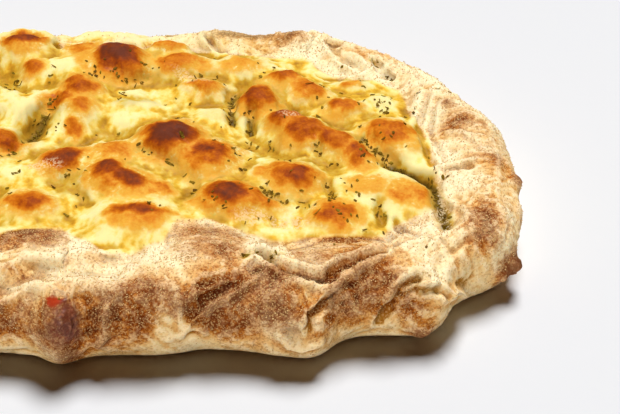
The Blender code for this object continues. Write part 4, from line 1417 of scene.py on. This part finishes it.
@dataclass(frozen=True)
class CrustFinish:
    """The bread's skin: pale crumb, toasted blisters, and a floury, browned rim, with painted shade in
    hollows and creases and painted highlight on crests.
    """

    crumb_row: ColourRow = (
        (0.0, (0.85, 0.74, 0.33)),
        (0.28, (0.81, 0.64, 0.17)),
        (0.52, (0.74, 0.44, 0.038)),
        (0.78, (0.58, 0.28, 0.018)),
        (1.0, (0.38, 0.18, 0.01)),
    )
    olive: Colour = (0.3, 0.165, 0.012)
    dregs_and_shade: Colour = (0.13, 0.075, 0.009)
    dusted: Colour = (0.88, 0.68, 0.4)
    toast_row: ColourRow = (
        (0.0, (0.74, 0.52, 0.12)),
        (0.18, (0.72, 0.36, 0.04)),
        (0.36, (0.62, 0.2, 0.01)),
        (0.54, (0.47, 0.11, 0.003)),
        (0.7, (0.31, 0.054, 0.003)),
        (0.86, (0.19, 0.034, 0.006)),
        (1.0, (0.13, 0.027, 0.01)),
    )
    toast_top: float = 1.25
    cream: Colour = (0.94, 0.75, 0.45)
    white: Colour = (0.94, 0.865, 0.58)
    rim_row: ColourRow = (
        (0.0, (0.87, 0.655, 0.33)),
        (0.25, (0.76, 0.44, 0.15)),
        (0.5, (0.54, 0.203, 0.032)),
        (0.8, (0.36, 0.098, 0.008)),
        (1.0, (0.25, 0.062, 0.006)),
    )
    sand: Colour = (0.83, 0.52, 0.21)
    fold_shade: Colour = (0.56, 0.42, 0.15)
    scorch: Colour = (0.4, 0.19, 0.055)
    burst_red: Colour = (0.38, 0.035, 0.008)
    burst_purple: Colour = (0.13, 0.026, 0.011)
    burst_pale: Colour = (0.31, 0.1, 0.05)
    crumb_hollow_painted_shade: float = 0.37
    crumb_crease_painted_shade: float = 0.13
    crumb_tone: float = 0.24
    crumb_mottle: float = 1.5
    oil_and_shade_cover: float = 0.75
    toast_mottle: float = 0.9
    toast_grain: float = 0.35
    toast_crease: float = 0.08
    dust_cover: float = 0.55
    brown_tone: float = 0.8
    brown_mottle: float = 0.35
    rim_hollow_tone: float = 0.08
    rim_crease_painted_shade: float = 0.27
    flour_cover: float = 0.8
    crest_highlight_cover: float = 0.8
    crest_highlight_browned: float = 0.55
    scorch_cover: float = 0.75
    sand_cover: float = 0.4
    sand_burnt: float = 0.36
    burst_ragged: float = 1.1
    burst_cover: float = 0.9
    rim_grains: float = 1150.0
    coat_roughness: float = 0.35
    specular: float = 0.05
    glow_weight: float = 0.12
    glow_radius: Colour = (1.0, 0.5, 0.2)
    glow_depth: float = 0.003
    bump_strength: float = 0.5
    bump_height: float = 0.0005

    def crumb_colour(self, wiring: Wiring, mottle: Signal, groups: GroupMaker) -> Signal:
        """Makes the crumb's colour: painted shade in valleys and creases, painted light on crests, oil
        stains, toasted blisters and the flour on some of them.

        Args:
            wiring: the wiring of the material.
            mottle: the shared unevenness.
            groups: the shared effects.

        Returns:
            The colour.
        """
        crease, hollow, oil_and_shade, toast, flour = wiring.masks(
            Mask.CREASE, Mask.HOLLOW, Mask.OIL_AND_SHADE, Mask.TOAST, Mask.FLOUR
        )
        # painted shade: the crumb's colour darkens in valleys and creases and pales on crests
        depth = hollow * self.crumb_hollow_painted_shade + crease * self.crumb_crease_painted_shade
        depth = depth + self.crumb_tone + mottle * self.crumb_mottle
        # oil stain and painted shade: olive in the valleys, darker still deep in the crevices
        base = wiring.mix(oil_and_shade * self.oil_and_shade_cover, wiring.ramp(depth, self.crumb_row), self.olive)
        base = wiring.mix(wiring.ease(oil_and_shade, 0.6, 1.0), base, self.dregs_and_shade)
        grain = wiring.noise(per_metre(1.3), 2.0)
        uneven = mottle * self.toast_mottle + grain * self.toast_grain - crease * self.toast_crease
        strength = toast + uneven * wiring.ease(toast, 0.02, 0.4)
        baked = wiring.ramp(strength / self.toast_top, self.toast_row)
        whole = wiring.mix(wiring.ease(strength, 0.04, 0.2), base, baked)
        share = flour + mottle
        dust = wiring.group(groups.specks, "Mask", Grains_per_metre=1300.0, Share=share, Softness=0.3)
        shown = dust * wiring.ease(flour, 0.05, 0.4)
        return wiring.mix(shown * self.dust_cover, whole, self.dusted)

    def rim_colour(self, wiring: Wiring, mottle: Signal, groups: GroupMaker) -> Signal:
        """Makes the colour of the rim: cream dough, flour, painted shade in creases, painted highlight on
        crests, and browning broken up by grains.

        Args:
            wiring: the wiring of the material.
            mottle: the shared unevenness.
            groups: the shared effects.

        Returns:
            The colour.
        """
        crease, hollow, brown_and_shade, flour = wiring.masks(Mask.CREASE, Mask.HOLLOW, Mask.BROWN_AND_SHADE, Mask.FLOUR)
        share = brown_and_shade * self.brown_tone + mottle * (brown_and_shade + self.brown_mottle)
        share = share - hollow * self.rim_hollow_tone
        # painted shade: the rim darkens in creases, most in deep ones
        dough = wiring.ramp(share + wiring.ease(crease, 0.1, 1.0) * self.rim_crease_painted_shade, self.rim_row)
        deep = wiring.ease(crease, 0.25, 1.0) * wiring.ease(hollow, 0.2, 0.9)
        dough = wiring.mix(deep, dough, self.fold_shade, "MULTIPLY")
        # pale dough and painted highlight: crests of the rim are lightened towards cream
        lips = wiring.ease(crease * -1.0, 0.15, 1.0) * (self.crest_highlight_cover - brown_and_shade * self.crest_highlight_browned)
        dough = wiring.mix(lips, dough, self.cream)
        dough = wiring.mix(flour * self.flour_cover, dough, self.white)
        share = share - (flour * 0.12 + lips * 0.25)
        dark = wiring.group(
            groups.specks, "Mask", Grains_per_metre=self.rim_grains, Share=share, Softness=0.35
        )
        dough = wiring.mix(dark * self.scorch_cover, dough, self.scorch, "MULTIPLY")
        pale = wiring.group(groups.specks, "Mask", Grains_per_metre=1500.0, Share=0.26, Softness=0.2)
        dusty = self.sand_cover - wiring.ease(brown_and_shade, 1.0, 1.2) * self.sand_burnt
        return wiring.mix(pale * dusty, dough, self.sand)

    def burst_colour(self, wiring: Wiring, base: Signal) -> Signal:
        """Lays the glossy, dark red burst blister over a colour.

        Args:
            wiring: the wiring of the material.
            base: the colour under it.

        Returns:
            The whole colour.
        """
        scald, burst = wiring.masks(Mask.SCALD, Mask.BURST)
        torn = wiring.noise(per_metre(3.0), 4.0) * self.burst_ragged
        red = wiring.mix(wiring.ease(scald + torn, 0.45, 0.85), base, self.burst_red)
        fine = wiring.ease(wiring.noise(per_metre(1.8), 3.0), -0.05, 0.25)
        purple = wiring.mix(fine, self.burst_purple, self.burst_pale)
        return wiring.mix(wiring.ease(burst + torn, 0.3, 0.95) * self.burst_cover, red, purple)

    def height(self, wiring: Wiring, rim: Signal, groups: GroupMaker) -> Signal:
        """Makes the fine relief.

        Args:
            wiring: the wiring of the material.
            rim: how far each point belongs to the rim.
            groups: the shared effects.

        Returns:
            The height of grains on the rim and of soft pores everywhere.
        """
        grains = wiring.group(
            groups.specks, "Height", Grains_per_metre=self.rim_grains, Share=0.5, Softness=0.2
        )
        return grains * (rim * 0.5) + wiring.noise(per_metre(1.6), 3.0) * 0.45

    def material(self, groups: GroupMaker) -> bpy.types.Material:
        """Makes the material.

        Args:
            groups: the shared effects.

        Returns:
            The bread's material.
        """
        made = NewMaterial("baked_dough", self.specular)
        wiring = made.wiring
        mottle = wiring.group(groups.mottle, "Value")
        rim, oil_and_shade, burst = wiring.masks(Mask.RIM, Mask.OIL_AND_SHADE, Mask.BURST)
        crumb = self.crumb_colour(wiring, mottle, groups)
        colour = wiring.mix(rim, crumb, self.rim_colour(wiring, mottle, groups))
        glossy = wiring.ease(burst, 0.4, 0.9) * 0.5
        inputs = {"Strength": self.bump_strength, "Distance": self.bump_height}
        inputs["Height"] = self.height(wiring, rim, groups)
        made.put({
            "Base Color": self.burst_colour(wiring, colour),
            "Coat Weight": wiring.math("ADD", oil_and_shade * 0.1, glossy, clamp=True),
            "Coat Roughness": self.coat_roughness,
            "Roughness": rim * 0.2 + 0.6,
            "Subsurface Weight": self.glow_weight,
            "Subsurface Radius": self.glow_radius,
            "Subsurface Scale": self.glow_depth,
            "Normal": wiring.add("ShaderNodeBump", inputs, "Normal"),
        })
        return made.material


@dataclass(frozen=True)
class TintedFinish:
    """A finish of small things, whose tint changes from one to the next."""

    name: str
    pale: Colour
    dark: Colour
    coarse_per_metre: float
    fine_per_metre: float
    roughness: float
    specular: float

    def material(self, groups: GroupMaker) -> bpy.types.Material:
        """Makes the material.

        Args:
            groups: the shared effects.

        Returns:
            The material.
        """
        made = NewMaterial(self.name, self.specular)
        wiring = made.wiring
        tint = wiring.value(TINT)
        scales = {"Coarse_per_metre": self.coarse_per_metre, "Fine_per_metre": self.fine_per_metre}
        share = wiring.math("ADD", tint, wiring.group(groups.mottle, "Value", **scales), clamp=True)
        made.put({"Base Color": wiring.mix(share, self.pale, self.dark)})
        made.put({"Roughness": tint * 0.2 + self.roughness})
        return made.material


HERB = TintedFinish("dried_herb", (0.25, 0.155, 0.008), (0.11, 0.05, 0.004), 900.0, 2600.0, 0.6, 0.08)
GRAIN = TintedFinish("semolina", (0.88, 0.63, 0.28), (0.5, 0.21, 0.04), 300.0, 1200.0, 0.55, 0.15)


@dataclass(frozen=True)
class FloorFinish:
    """A plain pale studio floor."""

    colour: Colour = (0.95, 0.95, 0.95)
    roughness: float = 0.9
    specular: float = 0.1

    def material(self) -> bpy.types.Material:
        """Makes the material."""
        made = NewMaterial("studio_floor", self.specular)
        made.put({"Base Color": self.colour, "Roughness": self.roughness})
        return made.material


def write_mesh(name: str, co: Array, faces: Array) -> bpy.types.Object:
    """Writes a mesh of triangles or quads as a smooth object.

    Args:
        name: the piece's name.
        co: its vertices, in metres.
        faces: its faces, all with the same number of corners.

    Returns:
        The object, linked to the scene.
    """
    mesh = bpy.data.meshes.new(name)
    mesh.vertices.add(len(co))
    mesh.vertices.foreach_set("co", co.astype(np.float32).ravel())
    corners = faces.shape[1]
    mesh.loops.add(faces.size)
    mesh.loops.foreach_set("vertex_index", faces.astype(np.int32).ravel())
    mesh.polygons.add(len(faces))
    mesh.polygons.foreach_set("loop_start", np.arange(0, faces.size, corners, dtype=np.int32))
    mesh.update(calc_edges=True)
    mesh.validate()
    made = bpy.data.objects.new(name, mesh)
    bpy.context.scene.collection.objects.link(made)
    return made


def set_values(made: bpy.types.Object, name: str, values: Array) -> None:
    """Gives a mesh one named value at each vertex."""
    attribute = made.data.attributes.new(name, "FLOAT", "POINT")
    attribute.data.foreach_set("value", values.astype(np.float32))


@dataclass
class Bread:
    """The bread itself: its fine skin, baked."""

    form: TopForm
    relief: Relief
    baking: Baking
    finish: CrustFinish
    spacing: float = 1.185
    base_spacing: float = 6.0

    def build(self, low: Vector, high: Vector, groups: GroupMaker) -> bpy.types.Object:
        """Makes the bread where its plain solid stands.

        Args:
            low: the lowest corner of the solid's box, in metres.
            high: the highest corner.
            groups: the shared effects.

        Returns:
            The bread's object.
        """
        self.skin = Skin(self.form, self.spacing, self.base_spacing)
        self.relief.apply(self.skin)
        self.masks = self.baking.apply(self.skin)
        own_low = self.skin.co.min(axis=0) * MM
        own_high = self.skin.co.max(axis=0) * MM
        middle = 0.5 * (np.array(low) + np.array(high))
        self.shift = middle - 0.5 * (own_low + own_high)
        self.shift[2] = 0.0
        self.co = self.skin.co * MM + self.shift
        made = write_mesh("bread_skin", self.co, self.skin.triangles)
        for mask, values in self.masks.items():
            set_values(made, mask.value, values)
        made.data.shade_smooth()
        made.data.materials.append(self.finish.material(groups))
        return made

    def tree(self) -> BVHTree:
        """Returns a search tree of the skin, for what is laid on it."""
        return BVHTree.FromPolygons([tuple(p) for p in self.co], self.skin.triangles.tolist())


@dataclass
class Scatter:
    """Small things laid on the skin, gathered into one mesh."""

    co: list[Array] = field(default_factory=list)
    faces: list[Array] = field(default_factory=list)
    tints: list[Array] = field(default_factory=list)
    count: int = 0

    def add(self, points: Array, faces: Array, tint: float) -> None:
        """Adds one thing, given by its points in metres and its faces."""
        self.co.append(points)
        self.faces.append(faces + self.count)
        self.tints.append(np.full(len(points), tint))
        self.count += len(points)

    def write(self, name: str) -> bpy.types.Object:
        """Writes all of it as one object with the tints as a named value."""
        made = write_mesh(name, np.vstack(self.co), np.vstack(self.faces))
        set_values(made, TINT, np.concatenate(self.tints))
        return made


def lie(normal: Array, spin: float, tilt: float, lean: float) -> Array:
    """Returns the turn of a thing that lies on a surface.

    Args:
        normal: the surface's normal.
        spin: its turn about the normal, in radians.
        tilt: how far it leans out of the surface.
        lean: the direction of that lean.

    Returns:
        A 3 by 3 matrix.
    """
    stand = Vector(normal).to_track_quat("Z", "Y").to_matrix()
    axis = Vector((math.cos(lean), math.sin(lean), 0.0))
    return np.array(stand @ Matrix.Rotation(tilt, 3, axis) @ Matrix.Rotation(spin, 3, "Z"))


@dataclass
class Herbs:
    """Dried oregano: broken leaves and a few thin stalks, on the crumb and in its hollows."""

    finish: TintedFinish
    seed: int = 11
    loose: int = 95
    rim_flakes: int = 7
    loose_jitter: float = 0.6
    crevice_jitter: float = 1.1
    crevice_rate: float = 1.1
    cluster_flakes: int = 4
    cluster_spread: float = 2.4
    clusters: tuple[Pair, ...] = (
        (-65, 63), (-48, 24), (-44, 22), (7, 67), (59, -6), (62, 8), (133, 33),
        (130, 39), (114, 79), (76, 71), (68, 67), (47, -46), (52, -48), (21, -50),
        (-50, -21), (-26, -21), (-19, 58), (-5, 44), (-35, 22), (-15, 61),
        (104, -8), (137, -11), (110, -52), (113, -54), (74, 3), (81, -11),
    )
    stalk_share: float = 0.07
    leaf_length: Pair = (0.8, 3.0)
    leaf_width: Pair = (0.6, 1.9)
    leaf_thickness: float = 0.16
    stalk_length: Pair = (3.0, 6.5)
    stalk_radius: float = 0.26
    drifts: tuple[Drift, ...] = made_of(
        Drift,
        (127, 2, 6, 6, 10), (133, -13, 7, 4, 12), (147, -18, 8, 4, 10), (128, 24, 8, 16, 12),
        (72, -40, 16, 6, 18), (110, -40, 10, 8, 14), (150, 48, 8, 6, 9), (112, 46, 12, 5, 9),
        (-60, 58, 12, 8, 10), (10, 62, 18, 8, 8), (55, 30, 8, 14, 8), (-120, 30, 14, 10, 14),
        (-140, -20, 8, 14, 16), (-90, -35, 14, 8, 12),
    )

    def leaf(self, draw: random.Random) -> tuple[Array, Array]:
        """Makes one broken leaf: a thin, curled, tapering plate.

        Args:
            draw: the source of its uneven sizes.

        Returns:
            Its points in millimetres and its faces.
        """
        length = draw.uniform(*self.leaf_length)
        width = draw.uniform(*self.leaf_width)
        curl = draw.uniform(-0.5, 1.1)
        roll = draw.uniform(-0.7, 1.2)
        skew = draw.uniform(-0.5, 0.5)
        taper = (draw.uniform(0.35, 0.8), 1.0, draw.uniform(0.7, 1.0), draw.uniform(0.15, 0.6))
        top = []
        for i, share in enumerate(STATIONS):
            for across in (-0.5, 0.0, 0.5):
                x = share * length + skew * across * width
                y = across * width * taper[i]
                z = curl * length * share * share + roll * width * across * across
                top.append((x, y, z))
        upper = np.array(top)
        lower = upper - (0.0, 0.0, self.leaf_thickness)
        faces = []
        for i in range(3):
            for j in range(2):
                a, b, c, d = 3 * i + j, 3 * i + j + 3, 3 * i + j + 4, 3 * i + j + 1
                faces.append((a, b, c, d))
                faces.append((d + 12, c + 12, b + 12, a + 12))
        edge = (0, 1, 2, 5, 8, 11, 10, 9, 6, 3)
        for a, b in zip(edge, edge[1:] + edge[:1]):
            faces.append((a, b, b + 12, a + 12))
        return np.vstack((upper, lower)), np.array(faces)

    def stalk(self, draw: random.Random) -> tuple[Array, Array]:
        """Makes one bent stalk: a thin tube of four sides.

        Args:
            draw: the source of its uneven sizes.

        Returns:
            Its points in millimetres and its faces.
        """
        length = draw.uniform(*self.stalk_length)
        bend = draw.uniform(-0.25, 0.25)
        points = []
        for share in STATIONS:
            radius = self.stalk_radius * draw.uniform(0.7, 1.2)
            for turn in range(4):
                y = radius * math.cos(turn * math.pi / 2.0) + bend * length * share * share
                points.append((share * length, y, radius * math.sin(turn * math.pi / 2.0)))
        faces = [(0, 3, 2, 1), (12, 13, 14, 15)]
        for ring in range(3):
            for turn in range(4):
                after = (turn + 1) % 4
                low = 4 * ring
                faces.append((low + turn, low + after, low + 4 + after, low + 4 + turn))
        return np.array(points), np.array(faces)

    def places(self, bread: Bread, draw: random.Random) -> list[Pair]:
        """Draws where the herbs lie: drifts, clusters, crevices, loose ones, and a few on the rim.

        Args:
            bread: the finished bread.
            draw: the source of the places.

        Returns:
            The places in plan, in millimetres.
        """
        found = []
        for drift in self.drifts:
            for _ in range(drift.flakes):
                found.append((draw.gauss(drift.x, drift.spread_x), draw.gauss(drift.y, drift.spread_y)))
        for x, y in self.clusters:
            for _ in range(self.cluster_flakes):
                found.append((draw.gauss(x, self.cluster_spread), draw.gauss(y, self.cluster_spread)))
        for crevice in CREVICES:
            for start, end in zip(crevice.path, crevice.path[1:]):
                count = round(crevice.oil_and_shade**2 * self.crevice_rate * math.dist(start, end))
                for _ in range(count):
                    share = draw.random()
                    x = start[0] + share * (end[0] - start[0]) + draw.gauss(0.0, self.crevice_jitter)
                    y = start[1] + share * (end[1] - start[1]) + draw.gauss(0.0, self.crevice_jitter)
                    found.append((x, y))
        skin = bread.skin
        hollow = bread.masks[Mask.HOLLOW]
        inside = np.flatnonzero((skin.rim < 0.5) & (skin.up > 0.0) & (skin.co[:, 2] > 20.0))
        chance = 0.15 + np.clip(hollow[inside], 0.0, 1.0) * 2.2
        steps = np.cumsum(chance)
        for _ in range(self.loose):
            k = inside[int(np.searchsorted(steps, draw.random() * steps[-1]))]
            x = skin.co[k, 0] + draw.uniform(-self.loose_jitter, self.loose_jitter)
            found.append((x, skin.co[k, 1] + draw.uniform(-self.loose_jitter, self.loose_jitter)))
        rim = np.flatnonzero((skin.rim > 0.5) & (skin.up > 20.0))
        for _ in range(self.rim_flakes):
            k = rim[int(draw.random() * len(rim))]
            found.append((skin.co[k, 0], skin.co[k, 1]))
        return found

    def build(self, bread: Bread, tree: BVHTree, groups: GroupMaker) -> bpy.types.Object:
        """Lays the herbs on the bread.

        Args:
            bread: the finished bread.
            tree: the search tree of its skin.
            groups: the shared effects.

        Returns:
            The herbs as one object.
        """
        draw = random.Random(self.seed)
        scatter = Scatter()
        down = Vector((0.0, 0.0, -1.0))
        for x, y in self.places(bread, draw):
            form = HerbForm.STALK if draw.random() < self.stalk_share else HerbForm.LEAF
            points, faces = self.stalk(draw) if form is HerbForm.STALK else self.leaf(draw)
            high = Vector((x * MM + bread.shift[0], y * MM + bread.shift[1], 0.2))
            spot, normal, _, _ = tree.ray_cast(high, down)
            if spot is None:
                continue
            tilt = draw.gauss(0.0, 0.12 if form is HerbForm.STALK else 0.4)
            turn = lie(np.array(normal), draw.uniform(0.0, math.tau), tilt, draw.uniform(0.0, math.tau))
            lift = draw.uniform(0.05, 0.35)
            placed = (points + (0.0, 0.0, lift)) @ turn.T * MM + np.array(spot)
            scatter.add(placed, faces, draw.random())
        made = scatter.write("dried_herbs")
        made.data.materials.append(self.finish.material(groups))
        return made


@dataclass
class Semolina:
    """Loose grains of semolina that stick to the rim."""

    finish: TintedFinish
    seed: int = 31
    grains: int = 18000
    size: Pair = (0.3, 0.8)
    sunk: float = 0.25
    jitter: float = 0.6

    def build(self, bread: Bread, groups: GroupMaker) -> bpy.types.Object:
        """Sticks the grains to the rim, each a squashed octahedron.

        Args:
            bread: the finished bread.
            groups: the shared effects.

        Returns:
            The grains as one object.
        """
        draw = np.random.RandomState(self.seed)
        skin = bread.skin
        normals = skin.normals()
        brown_and_shade = bread.masks[Mask.BROWN_AND_SHADE]
        flour = bread.masks[Mask.FLOUR]
        facing = np.clip(normals[:, 2] + 0.5, 0.0, 1.0)
        clear = np.clip(1.0 - 1.6 * (bread.masks[Mask.BURST] + bread.masks[Mask.SCALD]), 0.0, 1.0)
        clear *= 1.0 - ease(brown_and_shade, 1.0, 1.2)
        rim = bread.masks[Mask.RIM]
        weight = rim * (skin.co[:, 2] > 4.0) * facing * (0.3 + 0.25 * brown_and_shade + 0.5 * flour) * clear
        chosen = draw.choice(len(skin.co), self.grains, replace=True, p=weight / weight.sum())
        jitter = draw.uniform(-self.jitter, self.jitter, (self.grains, 3)) * MM
        normal = normals[chosen]
        jitter -= normal * (jitter * normal).sum(axis=1, keepdims=True)
        size = draw.uniform(self.size[0], self.size[1], self.grains) ** 1.2 * MM
        middle = bread.co[chosen] + jitter + normal * (size * (0.5 - self.sunk))[:, None]
        corners = np.array([(1, 0, 0), (-1, 0, 0), (0, 1, 0), (0, -1, 0), (0, 0, 1), (0, 0, -1)], float)
        belt = (0, 2, 1, 3, 0)
        upper = [(a, b, 4) for a, b in zip(belt, belt[1:])]
        sides = np.array(upper + [(b, a, 5) for a, b, _ in upper])
        stretch = draw.uniform(0.35, 0.65, (self.grains, 6, 1)) * size[:, None, None]
        turned = corners[None, :, :] @ self.turns(draw)
        co = middle[:, None, :] + turned * stretch
        faces = sides[None, :, :] + 6 * np.arange(self.grains)[:, None, None]
        made = write_mesh("semolina_grains", co.reshape(-1, 3), faces.reshape(-1, 3))
        tint = np.clip(draw.normal(0.45, 0.3, self.grains) - 0.35 * brown_and_shade[chosen], 0.0, 1.0)
        set_values(made, TINT, np.repeat(tint, 6))
        made.data.materials.append(self.finish.material(groups))
        return made

    def turns(self, draw: np.random.RandomState) -> Array:
        """Returns one random turn for each grain, as 3 by 3 matrices."""
        q = draw.normal(size=(self.grains, 4))
        q /= np.linalg.norm(q, axis=1, keepdims=True)
        w, x, y, z = q.T
        rows = (
            (1 - 2 * (y * y + z * z), 2 * (x * y - w * z), 2 * (x * z + w * y)),
            (2 * (x * y + w * z), 1 - 2 * (x * x + z * z), 2 * (y * z - w * x)),
            (2 * (x * z - w * y), 2 * (y * z + w * x), 1 - 2 * (x * x + y * y)),
        )
        return np.array(rows).transpose(2, 0, 1)


@dataclass(frozen=True)
class Lamp:
    """A wide light.

    It has a direction and a width in degrees, a strength and a colour. It may leave the floor
    dark, and its light may stop at what it hits, with no bounces.
    """

    name: str
    azimuth: float
    elevation: float
    strength: float
    width: float
    colour: Colour
    lights_floor: bool
    bounces: int = 1024


@dataclass
class Studio:
    """The camera at the photograph's angle, a pale floor and soft light."""

    floor_finish: FloorFinish
    elevation: float = 39.0
    distance: float = 0.8
    focal_pixels: float = 1600.0
    image_width: float = 620.0
    sensor: float = 36.0
    aim: tuple[float, float, float] = (0.094, -0.024, 0.02)
    key: Lamp = Lamp("key", 165.0, 61.0, 3.3, 24.0, (0.98, 1.0, 1.03), True)
    fill: Lamp = Lamp("fill", 345.0, 40.0, 2.15, 40.0, (1.0, 0.97, 0.91), False, 0)
    world_strength: float = 0.034
    world_colour: Colour = (1.0, 0.5, 0.18)
    seen_colour: Colour = (0.9, 0.9, 0.9)
    floor_size: float = 40.0

    def camera(self, shift: Array) -> bpy.types.Object:
        """Makes the camera.

        Args:
            shift: how far the bread was moved to stand where its solid does, in metres.

        Returns:
            The camera, which is also the scene's.
        """
        data = bpy.data.cameras.new("camera")
        data.sensor_width = self.sensor
        data.lens = self.focal_pixels / self.image_width * self.sensor
        made = bpy.data.objects.new("camera", data)
        bpy.context.scene.collection.objects.link(made)
        angle = math.radians(self.elevation)
        forward = Vector((0.0, math.cos(angle), -math.sin(angle)))
        made.location = Vector(self.aim) + Vector((shift[0], shift[1], 0.0)) - forward * self.distance
        made.rotation_euler = forward.to_track_quat("-Z", "Y").to_euler()
        bpy.context.scene.camera = made
        return made

    def light(self, lamp: Lamp) -> bpy.types.Object:
        """Makes one wide, even light.

        Args:
            lamp: its direction, width, strength and colour.

        Returns:
            The light.
        """
        data = bpy.data.lights.new(lamp.name, "SUN")
        data.energy = lamp.strength
        data.angle = math.radians(lamp.width)
        data.color = lamp.colour
        data.cycles.max_bounces = lamp.bounces
        made = bpy.data.objects.new(lamp.name, data)
        bpy.context.scene.collection.objects.link(made)
        azimuth = math.radians(lamp.azimuth)
        height = math.radians(lamp.elevation)
        away = Vector((math.sin(azimuth), -math.cos(azimuth), math.tan(height)))
        made.location = away
        made.rotation_euler = (-away).to_track_quat("-Z", "Y").to_euler()
        if not lamp.lights_floor:
            made.light_linking.receiver_collection = self.model
        return made

    def world(self) -> bpy.types.World:
        """Makes the surroundings: dim where they light the bread, pale where they are looked at."""
        made = bpy.data.worlds.new("surroundings")
        made.use_nodes = True
        wiring = Wiring(made.node_tree)
        dim = made.node_tree.nodes["Background"]
        wiring.put(dim, {"Color": self.world_colour, "Strength": self.world_strength})
        pale = wiring.add("ShaderNodeBackground", {"Color": self.seen_colour})
        seen = wiring.add("ShaderNodeLightPath", {}, "Is Camera Ray")
        blend = wiring.add("ShaderNodeMixShader", {0: seen, 1: Signal(wiring, dim.outputs[0]), 2: pale})
        wiring.put(made.node_tree.nodes["World Output"], {"Surface": blend})
        bpy.context.scene.world = made
        return made

    def floor(self) -> bpy.types.Object:
        """Makes the floor."""
        half = 0.5 * self.floor_size
        co = np.array([(-half, -half, 0.0), (half, -half, 0.0), (half, half, 0.0), (-half, half, 0.0)])
        made = write_mesh("floor", co, np.array([(0, 1, 2, 3)]))
        made.data.materials.append(self.floor_finish.material())
        return made

    def build(self, shift: Array, pieces: list[bpy.types.Object]) -> None:
        """Makes all of it, and sets plain colour handling.

        Args:
            shift: how far the bread was moved to stand where its solid does, in metres.
            pieces: the pieces of the model, which the fill lights without the floor.
        """
        self.model = bpy.data.collections.new("lit_by_fill")
        for piece in pieces:
            self.model.objects.link(piece)
        self.camera(shift)
        self.light(self.key)
        self.light(self.fill)
        self.world()
        self.floor()
        bpy.context.scene.view_settings.view_transform = "Standard"


def carry(piece: bpy.types.Object) -> None:
    """Puts a finished piece in the solid's place, on its body, and reports it."""
    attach(piece, BODY)
    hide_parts(NODE)
    LOG.info("%s: %d faces", piece.name, len(piece.data.polygons))


def main() -> None:
    """Builds the bread, what lies on it, and the studio."""
    logging.basicConfig(level=logging.INFO, format="%(name)s: %(message)s")
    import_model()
    low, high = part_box(NODE)
    groups = GroupMaker()
    bread = Bread(TopForm(LoafPlan()), Relief(), Baking(), CrustFinish())
    pieces = [bread.build(low, high, groups)]
    pieces.append(Herbs(HERB).build(bread, bread.tree(), groups))
    pieces.append(Semolina(GRAIN).build(bread, groups))
    for piece in pieces:
        carry(piece)
    Studio(FloorFinish()).build(bread.shift, pieces)


if __name__ == "__main__":
    main()
